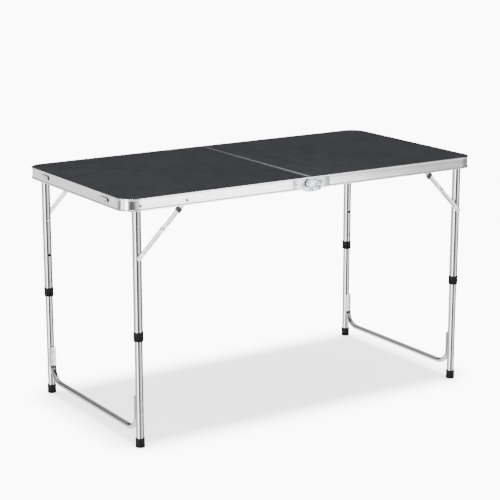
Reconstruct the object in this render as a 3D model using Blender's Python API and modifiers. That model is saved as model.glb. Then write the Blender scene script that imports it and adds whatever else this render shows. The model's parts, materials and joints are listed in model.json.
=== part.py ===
"""Folding picnic table: two hinged halves in an aluminium frame, on folding and telescoping legs.

The frame is metres with +Z up. X runs along the table, the seam between the halves is at X = 0,
the front is -Y, and the feet stand on Z = 0. The table is modelled open, standing on its legs.
"""

import math

import bmesh
import bpy
from mathutils import Matrix, Vector

# Driving dimensions of the whole table
LENGTH = 1.200
WIDTH = 0.600
HEIGHT = 0.700
GAP = 0.0003  # between pieces that touch
PLATE = 0.0015  # thickness of every flat steel plate
SINK = 0.0004  # how far a joined shape runs into its neighbour
PAST = 0.001  # how far a cutter runs past the face it cuts
THROUGH = 0.010  # how far a drill runs to either side of a rail's wall

# Frame rails: a thin upright wall with a bead along its top and bottom edge
RAIL_HEIGHT = 0.034
RAIL_WALL = 0.0015
BEAD_OUT = 0.002
BEAD_HEIGHT = 0.0034
BEAD_RAMP = 0.0012
LIP_REACH = 0.0055
LIP_THICKNESS = 0.0009
LEDGE_DEPTH = 0.0060
LEDGE_THICKNESS = 0.0011
CORNER_RADIUS = 0.046
CORNER_STEPS = 7
CORNER_TAIL = 0.002  # straight stretch past the bend
SEAM_HALF_GAP = 0.0004
WALL_X = LENGTH / 2 - BEAD_OUT
WALL_Y = WIDTH / 2 - BEAD_OUT
BEND_X = WALL_X - CORNER_RADIUS
BEND_Y = WALL_Y - CORNER_RADIUS

# Board and the trim along the seam
BOARD_TOP = HEIGHT - 0.0012
BOARD_THICKNESS = 0.0045
BOARD_MARGIN = 0.0020
BOARD_RIM_DROP = 0.0006  # the rim that sits in the rails is this much lower
TRIM_WIDTH = 0.0046
TRIM_DEPTH = 0.0068

# Hinge between the halves
HINGE_Z = HEIGHT - 0.036
LOBE_RADIUS = 0.0070
WEB_REACH = 0.0240
WEB_RISE = 0.0033
LEAF_LOW = HEIGHT - 0.0293
LEAF_HIGH = HEIGHT - 0.0047
LEAF_INNER_X = 0.0120
LEAF_OUTER_X = 0.0620
LEAF_RIVET_X = 0.0540
LATCH_Z = HEIGHT - 0.0165
LEVER_PIVOT_X = 0.0270
LEVER_END_X = -0.0130
LEVER_RADIUS = 0.0080
NOTCH_RADIUS = 0.0112
LEAF_CORNER = 0.0022
JOGGLE_X = (0.0135, 0.0290)  # where the right leaf steps out to its web
JOGGLE_Z = (LEAF_LOW - 0.001, LEAF_LOW + 0.003)

# Rivets: shank and head radii, and how high their heads stand
HEAD = 0.0010
LOW_HEAD = 0.0009
LEAF_SHANK = 0.0020
LEAF_RIVET_HEAD = 0.0036
HOOK_SHANK = 0.0024
HOOK_HEAD = 0.0042
LEVER_HEAD = 0.0040
BOSS_RADIUS = 0.0032
STRAP_SHANK = 0.0025
STRAP_HEAD = 0.0042
STUD_HEAD = 0.0046
PIVOT_SHANK = 0.0030
PIVOT_HEAD = 0.0050
PIVOT_SPACER = 0.0046
BAR_SHANK = 0.0020
BAR_HEAD = 0.0036
OUTER_HEAD_Y = WALL_Y + 0.0018  # top of the heads on the side rails

# Legs
LEG_X = 0.551
LEG_Y = 0.275
PIVOT_Z = HEIGHT - 0.0205
UPPER_RADIUS = 0.0125
UPPER_WALL = 0.0011
LOWER_RADIUS = 0.0110
LOWER_WALL = 0.0010
UPPER_TOP = PIVOT_Z + 0.006
UPPER_BOTTOM = 0.308
LOWER_TOP = 0.372
LOWER_BOTTOM = 0.0035
COLLAR_RADIUS = 0.0142
COLLAR_LOW = 0.303
COLLAR_HIGH = 0.329
FOOT_RADIUS = 0.01325
FOOT_HEIGHT = 0.026
FOOT_FLOOR = 0.003
BUTTON_Z = 0.352
HOLE_PITCH = 0.078
HOLE_COUNT = 2
BUTTON_RADIUS = 0.0036
BUTTON_REACH = 0.0105  # from the tube's axis, level with the lower tube's surface
SPRING_PLACE = (0.0044, 0.0050)
SPRING_HALF_WIDTH = 0.0040
SPRING_DOWN = 0.028
SPRING_UP = 0.010
DRILL = (0.002, 0.020)  # from a tube's axis out past its wall
SOFT = 0.0006  # small chamfers on the plastic parts

# Crossbar between the two legs of a pair
BAR_Z = 0.0425
BAR_RADIUS = 0.008
BAR_BEND = 0.050
ARM_TOP = 0.146
ARM_HALF_WIDTH = 0.0105
ARM_HALF_THICKNESS = 0.0018
ARM_RIVET_Z = (0.098, 0.130)

# Braces: two straps each, from the rail to the leg
BRACE_ARM = 0.143  # from the leg's pivot to either end of the brace
BRACE_RAIL_X = LEG_X - BRACE_ARM
BRACE_LEG_Z = PIVOT_Z - BRACE_ARM
STRAP_HALF_WIDTH = 0.0075
LOWER_STRAP_Y = 0.2889
UPPER_STRAP_Y = 0.2916
SLIDER_PLACE = 0.033  # along the upper strap from its rail rivet
SLIDER_LENGTH = 0.013
CLIP_UNDER = 0.0008
CLIP_OVER = 0.0016
CLIP_WALL = 0.0020
CLIP_LIP = 0.0024

# Case hooks on one end, keepers and a handle on the other
CASE_PIVOT_Y = (-0.161, 0.199)
CASE_HOOK_ARM = 0.038
CASE_Z = HEIGHT - 0.017
CASE_HOOK_RADIUS = 0.0072
CASE_MOUTH = 0.0031
CASE_MOUTH_DEPTH = 0.012
GRIP_SHARE = 0.62  # the grip's place along the hook's arm
GRIP_RADIUS = 0.0030
KEEPER_HEAD = 0.0045
KEEPER_NECK_X = LENGTH / 2 + 0.0026
KEEPER_FLANGE = 0.0055
KEEPER_FLANGE_X = WALL_X + 0.0014
CASE_LAYER_X = LENGTH / 2 + GAP
OUTREACH = LENGTH / 2 + 0.0048  # how far hardware stands out at both ends
HANDLE_HALF_LENGTH = 0.055
HANDLE_DROP = 0.030
HANDLE_THICKNESS = 0.0044
HANDLE_PIVOT_X = OUTREACH - HANDLE_THICKNESS / 2
HANDLE_ARM = 0.0100
HANDLE_BAR = 0.0085
HANDLE_CORNER = 0.0020
HANDLE_WINDOW_CORNER = 0.0040
HANDLE_PIN = 0.0014
HANDLE_PIN_INNER = 0.004
HANDLE_PIN_OUTER = 0.007
LUG_WIDTH = 0.008
LUG_HALF_HEIGHT = 0.0065
LUG_CORNER = 0.0018

ROUND_STEPS = 18
RIVET_STEPS = 10

FRAME_ALUMINIUM = ("frame_aluminium", (0.80, 0.80, 0.79), 0.38, 1.0)
TUBE_ALUMINIUM = ("tube_aluminium", (0.78, 0.79, 0.80), 0.28, 1.0)
ZINC_STEEL = ("zinc_steel", (0.70, 0.74, 0.78), 0.35, 1.0)
BLACK_PLASTIC = ("black_plastic", (0.015, 0.015, 0.016), 0.55, 0.0)
BOARD_LAMINATE = ("board_laminate", (0.042, 0.045, 0.048), 0.45, 0.0)


# ---------------------------------------------------------------- scene and helpers


def clear_scene():
    for old in list(bpy.data.objects):
        bpy.data.objects.remove(old, do_unlink=True)


def collection(name):
    found = bpy.data.collections.get(name)
    if found is None:
        found = bpy.data.collections.new(name)
        bpy.context.scene.collection.children.link(found)
    return found


def material(name, colour, roughness, metallic):
    found = bpy.data.materials.get(name)
    if found is None:
        found = bpy.data.materials.new(name)
        found.use_nodes = True
        shader = found.node_tree.nodes["Principled BSDF"]
        shader.inputs["Base Color"].default_value = (*colour, 1.0)
        shader.inputs["Roughness"].default_value = roughness
        shader.inputs["Metallic"].default_value = metallic
    return found


def add_part(name, mesh, finish):
    """A visible piece with its own material."""
    part = bpy.data.objects.new(name, mesh)
    collection("folding_picnic_table").objects.link(part)
    mesh.materials.clear()
    mesh.materials.append(material(f"{name}_{finish[0]}", *finish[1:]))
    mesh.shade_smooth()
    mesh.set_sharp_from_angle(angle=math.radians(35))
    return part


def add_tool(mesh):
    """A hidden mesh that a Boolean joins to a piece or takes from it."""
    tool = bpy.data.objects.new("tool", mesh)
    collection("cutters").objects.link(tool)
    tool.hide_render = True
    tool.display_type = "WIRE"
    return tool


def boolean(part, mesh, operation):
    modifier = part.modifiers.new(operation.lower(), "BOOLEAN")
    modifier.operation = operation
    modifier.solver = "EXACT"
    modifier.object = add_tool(mesh)


def join(part, mesh):
    boolean(part, mesh, "UNION")


def cut(part, mesh):
    boolean(part, mesh, "DIFFERENCE")


def put_origin(part, point):
    """Moves a piece's origin to a point, such as one on its joint's axis."""
    part.data.transform(Matrix.Translation(-Vector(point)))
    part.location = point


def placed(mesh, matrix):
    """The mesh moved by a matrix, with its faces still pointing out if that mirrors it."""
    mesh.transform(matrix)
    if matrix.to_3x3().determinant() < 0:
        mesh.flip_normals()
    return mesh


def frame_matrix(x_axis, y_axis, z_axis, origin=(0, 0, 0)):
    columns = Matrix((x_axis, y_axis, z_axis)).transposed()
    return Matrix.Translation(origin) @ columns.to_4x4()


def mesh_of(curve):
    """The curve's surface as a mesh with its caps welded on."""
    helper = bpy.data.objects.new("helper", curve)
    bpy.context.scene.collection.objects.link(helper)
    graph = bpy.context.evaluated_depsgraph_get()
    mesh = bpy.data.meshes.new_from_object(helper.evaluated_get(graph))
    bpy.data.objects.remove(helper, do_unlink=True)
    work = bmesh.new()
    work.from_mesh(mesh)
    bmesh.ops.remove_doubles(work, verts=work.verts, dist=1e-6)
    bmesh.ops.recalc_face_normals(work, faces=work.faces)
    work.to_mesh(mesh)
    work.free()
    return mesh


def new_curve(dimensions):
    curve = bpy.data.curves.new("curve", "CURVE")
    curve.dimensions = dimensions
    return curve


def add_spline(curve, points, cyclic):
    spline = curve.splines.new("POLY")
    spline.points.add(len(points) - 1)
    for knot, point in zip(spline.points, points):
        knot.co = (point[0], point[1], point[2] if len(point) > 2 else 0.0, 1.0)
    spline.use_cyclic_u = cyclic


PLANES = {
    "XY": ((1, 0, 0), (0, 1, 0), (0, 0, 1)),
    "XZ": ((1, 0, 0), (0, 0, 1), (0, 1, 0)),
    "YZ": ((0, 1, 0), (0, 0, 1), (1, 0, 0)),
}


def plate(loops, low, high, plane):
    """A flat outline, with its holes as further loops, between two heights over its plane."""
    curve = new_curve("2D")
    curve.fill_mode = "BOTH"
    curve.extrude = abs(high - low) / 2
    for loop in loops:
        add_spline(curve, loop, True)
    axes = PLANES[plane]
    middle = Vector(axes[2]) * (low + high) / 2
    return placed(mesh_of(curve), frame_matrix(*axes, middle))


def box(low, high):
    work = bmesh.new()
    bmesh.ops.create_cube(work, size=1.0)
    size = Vector(high) - Vector(low)
    bmesh.ops.scale(work, vec=size, verts=work.verts)
    bmesh.ops.translate(work, vec=(Vector(high) + Vector(low)) / 2, verts=work.verts)
    mesh = bpy.data.meshes.new("box")
    work.to_mesh(mesh)
    work.free()
    return mesh


def turned(profile, at, towards, steps=ROUND_STEPS, closed=False):
    """A profile of (radius, height) points, outer side from top to bottom, turned round an axis."""
    work = bmesh.new()
    points = [work.verts.new((radius, 0.0, height)) for radius, height in profile]
    for start, end in zip(points, points[1:] + points[:1]):
        if closed or end is not points[0]:
            work.edges.new((start, end))
    outline = bpy.data.meshes.new("profile")
    work.to_mesh(outline)
    work.free()
    helper = bpy.data.objects.new("helper", outline)
    bpy.context.scene.collection.objects.link(helper)
    screw = helper.modifiers.new("turn", "SCREW")
    screw.steps = steps
    screw.render_steps = steps
    screw.use_merge_vertices = True
    screw.merge_threshold = 1e-6
    graph = bpy.context.evaluated_depsgraph_get()
    mesh = bpy.data.meshes.new_from_object(helper.evaluated_get(graph))
    bpy.data.objects.remove(helper, do_unlink=True)
    turn = Vector((0, 0, 1)).rotation_difference(Vector(towards)).to_matrix().to_4x4()
    return placed(mesh, Matrix.Translation(at) @ turn)


def stepped(*levels):
    """The profile of stacked discs, each (radius, top, bottom), from the top one down."""
    profile = [(0.0, levels[0][1])]
    for radius, top, bottom in levels:
        profile += [(radius, top), (radius, bottom)]
    return profile + [(0.0, levels[-1][2])]


def rod(radius, at, towards, low, high, steps=RIVET_STEPS):
    return turned(stepped((radius, high, low)), at, towards, steps)


def ring(outer, inner, low, high):
    """The profile of a plain tube."""
    return [(outer, high), (outer, low), (inner, low), (inner, high)]


def arc(centre, radius, start, end, steps):
    """Points on an arc, its angles in degrees."""
    for step in range(steps + 1):
        angle = math.radians(start + (end - start) * step / steps)
        yield (
            centre[0] + radius * math.cos(angle),
            centre[1] + radius * math.sin(angle),
        )


def circle(centre, radius, steps=RIVET_STEPS):
    return list(arc(centre, radius, 0, 360, steps))[:-1]


def rounded_box(low, high, radius, steps=3):
    """A rectangle with round corners."""
    corners = [
        ((high[0] - radius, high[1] - radius), 0),
        ((low[0] + radius, high[1] - radius), 90),
        ((low[0] + radius, low[1] + radius), 180),
        ((high[0] - radius, low[1] + radius), 270),
    ]
    return [p for c, turn in corners for p in arc(c, radius, turn, turn + 90, steps)]


def stadium(start, end, radius, steps=6):
    """A strap's outline: two half circles round its ends."""
    way = math.degrees(math.atan2(end[1] - start[1], end[0] - start[0]))
    outline = list(arc(end, radius, way - 90, way + 90, steps))
    return outline + list(arc(start, radius, way + 90, way + 270, steps))


def side_name(side_x):
    return "left" if side_x < 0 else "right"


def face_name(side_y):
    return "front" if side_y < 0 else "back"


# ---------------------------------------------------------------- frame and top


def rail_section():
    """The rail's section: X is outwards from the wall's outer face, Y is up from its top edge."""
    ramp = BEAD_HEIGHT + BEAD_RAMP
    ledge_low = -LEDGE_DEPTH - LEDGE_THICKNESS
    return [
        (-RAIL_WALL, -RAIL_HEIGHT),
        (BEAD_OUT * 0.7, -RAIL_HEIGHT),
        (BEAD_OUT, -RAIL_HEIGHT + BEAD_OUT * 0.5),
        (BEAD_OUT, -RAIL_HEIGHT + BEAD_HEIGHT),
        (0.0, -RAIL_HEIGHT + ramp),
        (0.0, -ramp),
        (BEAD_OUT, -BEAD_HEIGHT),
        (BEAD_OUT, -BEAD_OUT * 0.5),
        (BEAD_OUT * 0.7, 0.0),
        (-LIP_REACH, 0.0),
        (-LIP_REACH, -LIP_THICKNESS),
        (-RAIL_WALL, -LIP_THICKNESS),
        (-RAIL_WALL, -LEDGE_DEPTH),
        (-LIP_REACH, -LEDGE_DEPTH),
        (-LIP_REACH, ledge_low),
        (-RAIL_WALL, ledge_low),
    ]


def rail(path):
    """The rail's section swept along a level path, whose left side is outwards."""
    section = new_curve("2D")
    add_spline(section, [(-x, y) for x, y in rail_section()], True)
    guide = bpy.data.objects.new("section", section)
    collection("cutters").objects.link(guide)
    guide.hide_render = True
    guide.display_type = "WIRE"
    curve = new_curve("3D")
    curve.twist_mode = "Z_UP"
    curve.bevel_mode = "OBJECT"
    curve.bevel_object = guide
    curve.use_fill_caps = True
    add_spline(curve, [(x, y, HEIGHT) for x, y in path], False)
    mesh = mesh_of(curve)
    bpy.data.objects.remove(guide, do_unlink=True)
    return mesh


def side_rail(side_x, side_y):
    """A long side's rail with the round corner bent into its end."""
    bend = arc((BEND_X, BEND_Y), CORNER_RADIUS, 90, 0, CORNER_STEPS)
    path = [(SEAM_HALF_GAP, WALL_Y), *bend, (WALL_X, BEND_Y - CORNER_TAIL)]
    mesh = placed(rail(path), Matrix.Diagonal((side_x, side_y, 1, 1)))
    name = f"side_rail_{face_name(side_y)}_{side_name(side_x)}"
    part = add_part(name, mesh, FRAME_ALUMINIUM)
    out = (0, side_y, 0)
    low, high = WALL_Y - THROUGH, WALL_Y + THROUGH
    for shank, x, z in (
        (PIVOT_SHANK, LEG_X, PIVOT_Z),
        (STRAP_SHANK, BRACE_RAIL_X, PIVOT_Z),
        (LEAF_SHANK, LEAF_RIVET_X, LATCH_Z),
    ):
        cut(part, rod(shank + GAP, (side_x * x, 0, z), out, low, high))
    cut(part, bead_relief(side_x, side_y))
    if side_x < 0:
        notch = (LEVER_END_X, 0, LATCH_Z)
        cut(part, rod(NOTCH_RADIUS, notch, out, low, high, ROUND_STEPS))


def bead_relief(side_x, side_y):
    """The stretch of the lower bead that is pressed flat behind the hinge's web."""
    xs = sorted((-side_x * PAST, side_x * (WEB_REACH + LOBE_RADIUS + PAST)))
    ys = sorted((side_y * (WALL_Y + GAP / 2), side_y * (WIDTH / 2 + PAST)))
    low = HEIGHT - RAIL_HEIGHT
    return box(
        (xs[0], ys[0], low - PAST), (xs[1], ys[1], low + BEAD_HEIGHT + BEAD_RAMP)
    )


def end_rail(side_x):
    """A short end's rail, between the two bent corners."""
    reach = BEND_Y - CORNER_TAIL - GAP
    path = [(WALL_X, reach), (WALL_X, -reach)]
    mesh = placed(rail(path), Matrix.Diagonal((side_x, 1, 1, 1)))
    part = add_part(f"end_rail_{side_name(side_x)}", mesh, FRAME_ALUMINIUM)
    if side_x > 0:
        for side_y in (-1, 1):
            join(part, handle_lug(side_y))
    for y in CASE_PIVOT_Y:
        low, high = WALL_X - THROUGH, WALL_X + THROUGH
        cut(part, rod(HOOK_SHANK + SINK, (0, y, CASE_Z), (side_x, 0, 0), low, high))


def handle_lug(side_y):
    """An eye on the end rail that holds one end of the handle's pin."""
    start = side_y * (HANDLE_HALF_LENGTH + GAP)
    end = start + side_y * LUG_WIDTH
    inner = WALL_X - RAIL_WALL / 2
    outline = rounded_box(
        (inner, CASE_Z - LUG_HALF_HEIGHT), (OUTREACH, CASE_Z + LUG_HALF_HEIGHT), LUG_CORNER
    )
    hole = circle((HANDLE_PIVOT_X, CASE_Z), HANDLE_PIN + GAP, 12)
    return plate([outline, hole], min(start, end), max(start, end), "XZ")


def board_layer(side_x, margin, low, high):
    """Half of the top, its outer corners this far inside the rails' walls."""
    radius = CORNER_RADIUS - margin
    inner = SEAM_HALF_GAP + TRIM_WIDTH + GAP
    outline = [(inner, margin - WALL_Y)]
    outline += arc((BEND_X, -BEND_Y), radius, -90, 0, CORNER_STEPS)
    outline += arc((BEND_X, BEND_Y), radius, 0, 90, CORNER_STEPS)
    outline += [(inner, WALL_Y - margin)]
    mesh = plate([outline], low, high, "XY")
    return placed(mesh, Matrix.Diagonal((side_x, 1, 1, 1)))


def board(side_x):
    """Half of the top: a thin board whose lower rim sits in the rails' channel."""
    low, rim = BOARD_TOP - BOARD_THICKNESS, BOARD_TOP - BOARD_RIM_DROP
    mesh = board_layer(side_x, BOARD_MARGIN, low, rim)
    part = add_part(f"top_board_{side_name(side_x)}", mesh, BOARD_LAMINATE)
    join(part, board_layer(side_x, LIP_REACH + GAP, rim - SINK, BOARD_TOP))


def seam_trim(side_x):
    """The aluminium edge strip of one half, along the seam."""
    low = side_x * SEAM_HALF_GAP
    high = side_x * (SEAM_HALF_GAP + TRIM_WIDTH)
    reach = WALL_Y - LIP_REACH - GAP
    mesh = box(
        (min(low, high), -reach, HEIGHT - TRIM_DEPTH), (max(low, high), reach, HEIGHT)
    )
    add_part(f"seam_trim_{side_name(side_x)}", mesh, FRAME_ALUMINIUM)


# ---------------------------------------------------------------- hinge and latches


def leaf_outline(side_x):
    """A hinge leaf: an upright plate with a web running down to the hinge's lobe."""
    outer = side_x * LEAF_OUTER_X
    inner = side_x * LEAF_INNER_X
    body = rounded_box(
        (min(outer, inner), LEAF_LOW), (max(outer, inner), LEAF_HIGH), LEAF_CORNER
    )
    web = stadium((side_x * WEB_REACH, HINGE_Z + WEB_RISE), (0.0, HINGE_Z), LOBE_RADIUS)
    return body, web


def hinge_leaf(side_x, side_y):
    """One leaf of a hinge, on the outside of a side rail, with its fixing rivet."""
    body, web = leaf_outline(side_x)
    layer = WALL_Y + GAP
    top = layer + PLATE
    out = (0, side_y, 0)
    name = f"hinge_leaf_{face_name(side_y)}_{side_name(side_x)}"
    mesh = plate([body], side_y * layer, side_y * top, "XZ")
    part = add_part(name, mesh, ZINC_STEEL)
    inside = WALL_Y - RAIL_WALL - GAP
    rivet = stepped(
        (LEAF_RIVET_HEAD, top + HEAD, top - SINK),
        (LEAF_SHANK, top - SINK, inside),
        (LEAF_RIVET_HEAD, inside, inside - HEAD),
    )
    at = (side_x * LEAF_RIVET_X, 0, LATCH_Z)
    join(part, turned(rivet, at, out, RIVET_STEPS))
    axis = (0, 0, HINGE_Z)
    outer = top + GAP
    if side_x < 0:
        join(part, plate([web], side_y * layer, side_y * top, "XZ"))
        pin_head = outer + PLATE + GAP
        pin = stepped(
            (HOOK_HEAD, pin_head + HEAD, pin_head), (HOOK_SHANK, pin_head, layer + SINK)
        )
        join(part, turned(pin, axis, out, RIVET_STEPS))
        notch = rod(
            NOTCH_RADIUS,
            (LEVER_END_X, 0, LATCH_Z),
            out,
            layer - PAST,
            top + GAP / 2,
            ROUND_STEPS,
        )
        cut(part, notch)
    else:
        outline = [web, circle((0.0, HINGE_Z), HOOK_SHANK + GAP)]
        join(part, plate(outline, side_y * outer, side_y * (outer + PLATE), "XZ"))
        low, high = sorted((side_y * (layer + GAP), side_y * (outer + PLATE - GAP)))
        step = box((JOGGLE_X[0], low, JOGGLE_Z[0]), (JOGGLE_X[1], high, JOGGLE_Z[1]))
        join(part, step)
        at = (LEVER_PIVOT_X, 0, LATCH_Z)
        hole = rod(HOOK_SHANK + GAP, at, out, layer - PAST, top + PAST)
        cut(part, hole)


def centre_hook(side_y):
    """The lever that bridges the seam: a plate with a boss at its free end."""
    layer = WALL_Y + GAP + PLATE + GAP
    top = layer + PLATE
    pivot = (LEVER_PIVOT_X, LATCH_Z)
    end = (LEVER_END_X, LATCH_Z)
    outline = stadium(pivot, end, LEVER_RADIUS)
    mesh = plate([outline], side_y * layer, side_y * top, "XZ")
    part = add_part(f"centre_hook_{face_name(side_y)}", mesh, ZINC_STEEL)
    out = (0, side_y, 0)
    rivet = stepped(
        (LEVER_HEAD, top + HEAD, top - SINK), (HOOK_SHANK, top - SINK, WALL_Y + 2 * GAP)
    )
    join(part, turned(rivet, (pivot[0], 0, pivot[1]), out, RIVET_STEPS))
    boss = stepped((BOSS_RADIUS, top + HEAD, top - SINK))
    join(part, turned(boss, (end[0], 0, end[1]), out, RIVET_STEPS))
    put_origin(part, (pivot[0], side_y * layer, pivot[1]))


def case_hook(y, name):
    """A hook on the left end that holds the folded table shut."""
    layer = CASE_LAYER_X
    top = layer + PLATE
    tip = y - CASE_HOOK_ARM
    outline = stadium((y, CASE_Z), (tip, CASE_Z), CASE_HOOK_RADIUS)
    mesh = plate([outline], -layer, -top, "YZ")
    part = add_part(name, mesh, ZINC_STEEL)
    out = (-1, 0, 0)
    inside = WALL_X - RAIL_WALL - GAP
    rivet = stepped(
        (HOOK_HEAD, OUTREACH - PLATE, top - SINK),
        (HOOK_SHANK, top - SINK, inside),
        (HOOK_HEAD, inside, inside - HEAD),
    )
    join(part, turned(rivet, (0, y, CASE_Z), out, RIVET_STEPS))
    grip = stepped((GRIP_RADIUS, OUTREACH, top - SINK))
    place = (0, y - CASE_HOOK_ARM * GRIP_SHARE, CASE_Z)
    join(part, turned(grip, place, out, RIVET_STEPS))
    cut(part, rod(CASE_MOUTH, (0, tip, CASE_Z), out, layer - PAST, top + PAST))
    mouth = box(
        (-top - PAST, tip - CASE_MOUTH, CASE_Z - CASE_MOUTH_DEPTH),
        (PAST - layer, tip + CASE_MOUTH, CASE_Z),
    )
    cut(part, mouth)
    put_origin(part, (-layer, y, CASE_Z))


def case_keeper(y, name):
    """The stud on the right end that a case hook catches."""
    inside = WALL_X - RAIL_WALL - GAP
    stud = stepped(
        (KEEPER_HEAD, OUTREACH, KEEPER_NECK_X),
        (HOOK_SHANK, KEEPER_NECK_X, KEEPER_FLANGE_X),
        (KEEPER_FLANGE, KEEPER_FLANGE_X, WALL_X + GAP),
        (HOOK_SHANK, WALL_X + GAP, inside),
        (HOOK_HEAD, inside, inside - HEAD),
    )
    mesh = turned(stud, (0, y, CASE_Z), (1, 0, 0), RIVET_STEPS)
    add_part(name, mesh, ZINC_STEEL)


def carry_handle():
    """The flat bail that hangs on the right end rail."""
    half = HANDLE_HALF_LENGTH
    inside = half - HANDLE_ARM
    low = CASE_Z - HANDLE_DROP
    high = CASE_Z + HANDLE_THICKNESS / 2
    outline = rounded_box((-half, low), (half, high), HANDLE_CORNER)
    window = rounded_box(
        (-inside, low + HANDLE_BAR), (inside, high + THROUGH), HANDLE_WINDOW_CORNER
    )
    near, far = HANDLE_PIVOT_X - HANDLE_THICKNESS / 2, OUTREACH
    mesh = plate([outline], near, far, "YZ")
    part = add_part("carry_handle", mesh, BLACK_PLASTIC)
    cutter = plate([window], near - PAST, far + PAST, "YZ")
    cut(part, cutter)
    for side_y in (-1, 1):
        at = (HANDLE_PIVOT_X, 0, CASE_Z)
        low, high = half - HANDLE_PIN_INNER, half + HANDLE_PIN_OUTER
        pin = rod(HANDLE_PIN, at, (0, side_y, 0), low, high, 12)
        join(part, pin)
    put_origin(part, (HANDLE_PIVOT_X, 0, CASE_Z))


# ---------------------------------------------------------------- legs


def upper_tube(side_x, side_y, name):
    profile = ring(UPPER_RADIUS, UPPER_RADIUS - UPPER_WALL, UPPER_BOTTOM, UPPER_TOP)
    centre = Vector((side_x * LEG_X, side_y * LEG_Y, 0))
    mesh = turned(profile, centre, (0, 0, 1), closed=True)
    part = add_part(f"upper_tube_{name}", mesh, TUBE_ALUMINIUM)
    for shank, z in ((PIVOT_SHANK, PIVOT_Z), (STRAP_SHANK, BRACE_LEG_Z)):
        at = centre + Vector((0, 0, z))
        cut(part, rod(shank + GAP, at, (0, 1, 0), -DRILL[1], DRILL[1]))
    for step in range(HOLE_COUNT):
        at = centre + Vector((0, 0, BUTTON_Z + step * HOLE_PITCH))
        cut(part, rod(BUTTON_RADIUS + 2 * GAP, at, (0, -side_y, 0), *DRILL))
    put_origin(part, (side_x * LEG_X, side_y * LEG_Y, PIVOT_Z))


def collar(side_x, side_y, name):
    """The plastic guide on the upper tube's lower end."""
    shoulder = UPPER_BOTTOM - GAP
    sleeve = UPPER_RADIUS + GAP
    profile = [
        (COLLAR_RADIUS - SOFT, COLLAR_HIGH),
        (COLLAR_RADIUS, COLLAR_HIGH - 2 * SOFT),
        (COLLAR_RADIUS, COLLAR_LOW + 2 * SOFT),
        (COLLAR_RADIUS - SOFT, COLLAR_LOW),
        (LOWER_RADIUS + GAP, COLLAR_LOW),
        (LOWER_RADIUS + GAP, shoulder),
        (sleeve, shoulder),
        (sleeve, COLLAR_HIGH),
    ]
    centre = (side_x * LEG_X, side_y * LEG_Y, 0)
    mesh = turned(profile, centre, (0, 0, 1), closed=True)
    add_part(f"collar_{name}", mesh, BLACK_PLASTIC)


def lower_tube(side_x, side_y, name):
    profile = ring(LOWER_RADIUS, LOWER_RADIUS - LOWER_WALL, LOWER_BOTTOM, LOWER_TOP)
    centre = Vector((side_x * LEG_X, side_y * LEG_Y, 0))
    mesh = turned(profile, centre, (0, 0, 1), closed=True)
    part = add_part(f"lower_tube_{name}", mesh, TUBE_ALUMINIUM)
    at = centre + Vector((0, 0, BUTTON_Z))
    cut(part, rod(BUTTON_RADIUS + GAP, at, (0, -side_y, 0), *DRILL))
    for z in ARM_RIVET_Z:
        at = centre + Vector((0, 0, z))
        cut(part, rod(BAR_SHANK + GAP, at, (0, 1, 0), -DRILL[1], DRILL[1]))


def foot(side_x, side_y, name):
    """The plastic cup on the lower tube's end."""
    profile = [
        (0.0, FOOT_FLOOR),
        (LOWER_RADIUS + GAP, FOOT_FLOOR),
        (LOWER_RADIUS + GAP, FOOT_HEIGHT),
        (FOOT_RADIUS - SOFT, FOOT_HEIGHT),
        (FOOT_RADIUS, FOOT_HEIGHT - 2 * SOFT),
        (FOOT_RADIUS, 2 * SOFT),
        (FOOT_RADIUS - 2 * SOFT, 0.0),
        (0.0, 0.0),
    ]
    centre = (side_x * LEG_X, side_y * LEG_Y, 0)
    mesh = turned(profile, centre, (0, 0, 1))
    add_part(f"foot_{name}", mesh, BLACK_PLASTIC)


def snap_button(side_x, side_y, name):
    """The button that locks the leg's length, with the leaf spring that it sits on."""
    inwards = (0, -side_y, 0)
    at = Vector((side_x * LEG_X, side_y * LEG_Y, BUTTON_Z))
    button = stepped((BUTTON_RADIUS, BUTTON_REACH, SPRING_PLACE[0] + GAP))
    part = add_part(
        f"snap_button_{name}", turned(button, at, inwards, RIVET_STEPS), ZINC_STEEL
    )
    ys = sorted(at.y - side_y * place for place in SPRING_PLACE)
    low = (at.x - SPRING_HALF_WIDTH, ys[0], BUTTON_Z - SPRING_DOWN)
    high = (at.x + SPRING_HALF_WIDTH, ys[1], BUTTON_Z + SPRING_UP)
    join(part, box(low, high))
    put_origin(part, at)


def leg_pivot_rivet(side_x, side_y, name):
    """The rivet that a leg turns on, with its spacer between the rail and the tube."""
    inner = LEG_Y - UPPER_RADIUS - GAP
    spacer_low = LEG_Y + UPPER_RADIUS + GAP
    spacer_high = WALL_Y - RAIL_WALL - 2 * GAP
    profile = stepped(
        (PIVOT_HEAD, OUTER_HEAD_Y, WALL_Y + GAP),
        (PIVOT_SHANK, WALL_Y + GAP, spacer_high),
        (PIVOT_SPACER, spacer_high, spacer_low),
        (PIVOT_SHANK, spacer_low, inner),
        (PIVOT_HEAD, inner, inner - HEAD),
    )
    at = (side_x * LEG_X, 0, PIVOT_Z)
    mesh = turned(profile, at, (0, side_y, 0))
    add_part(f"leg_pivot_rivet_{name}", mesh, ZINC_STEEL)


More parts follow.
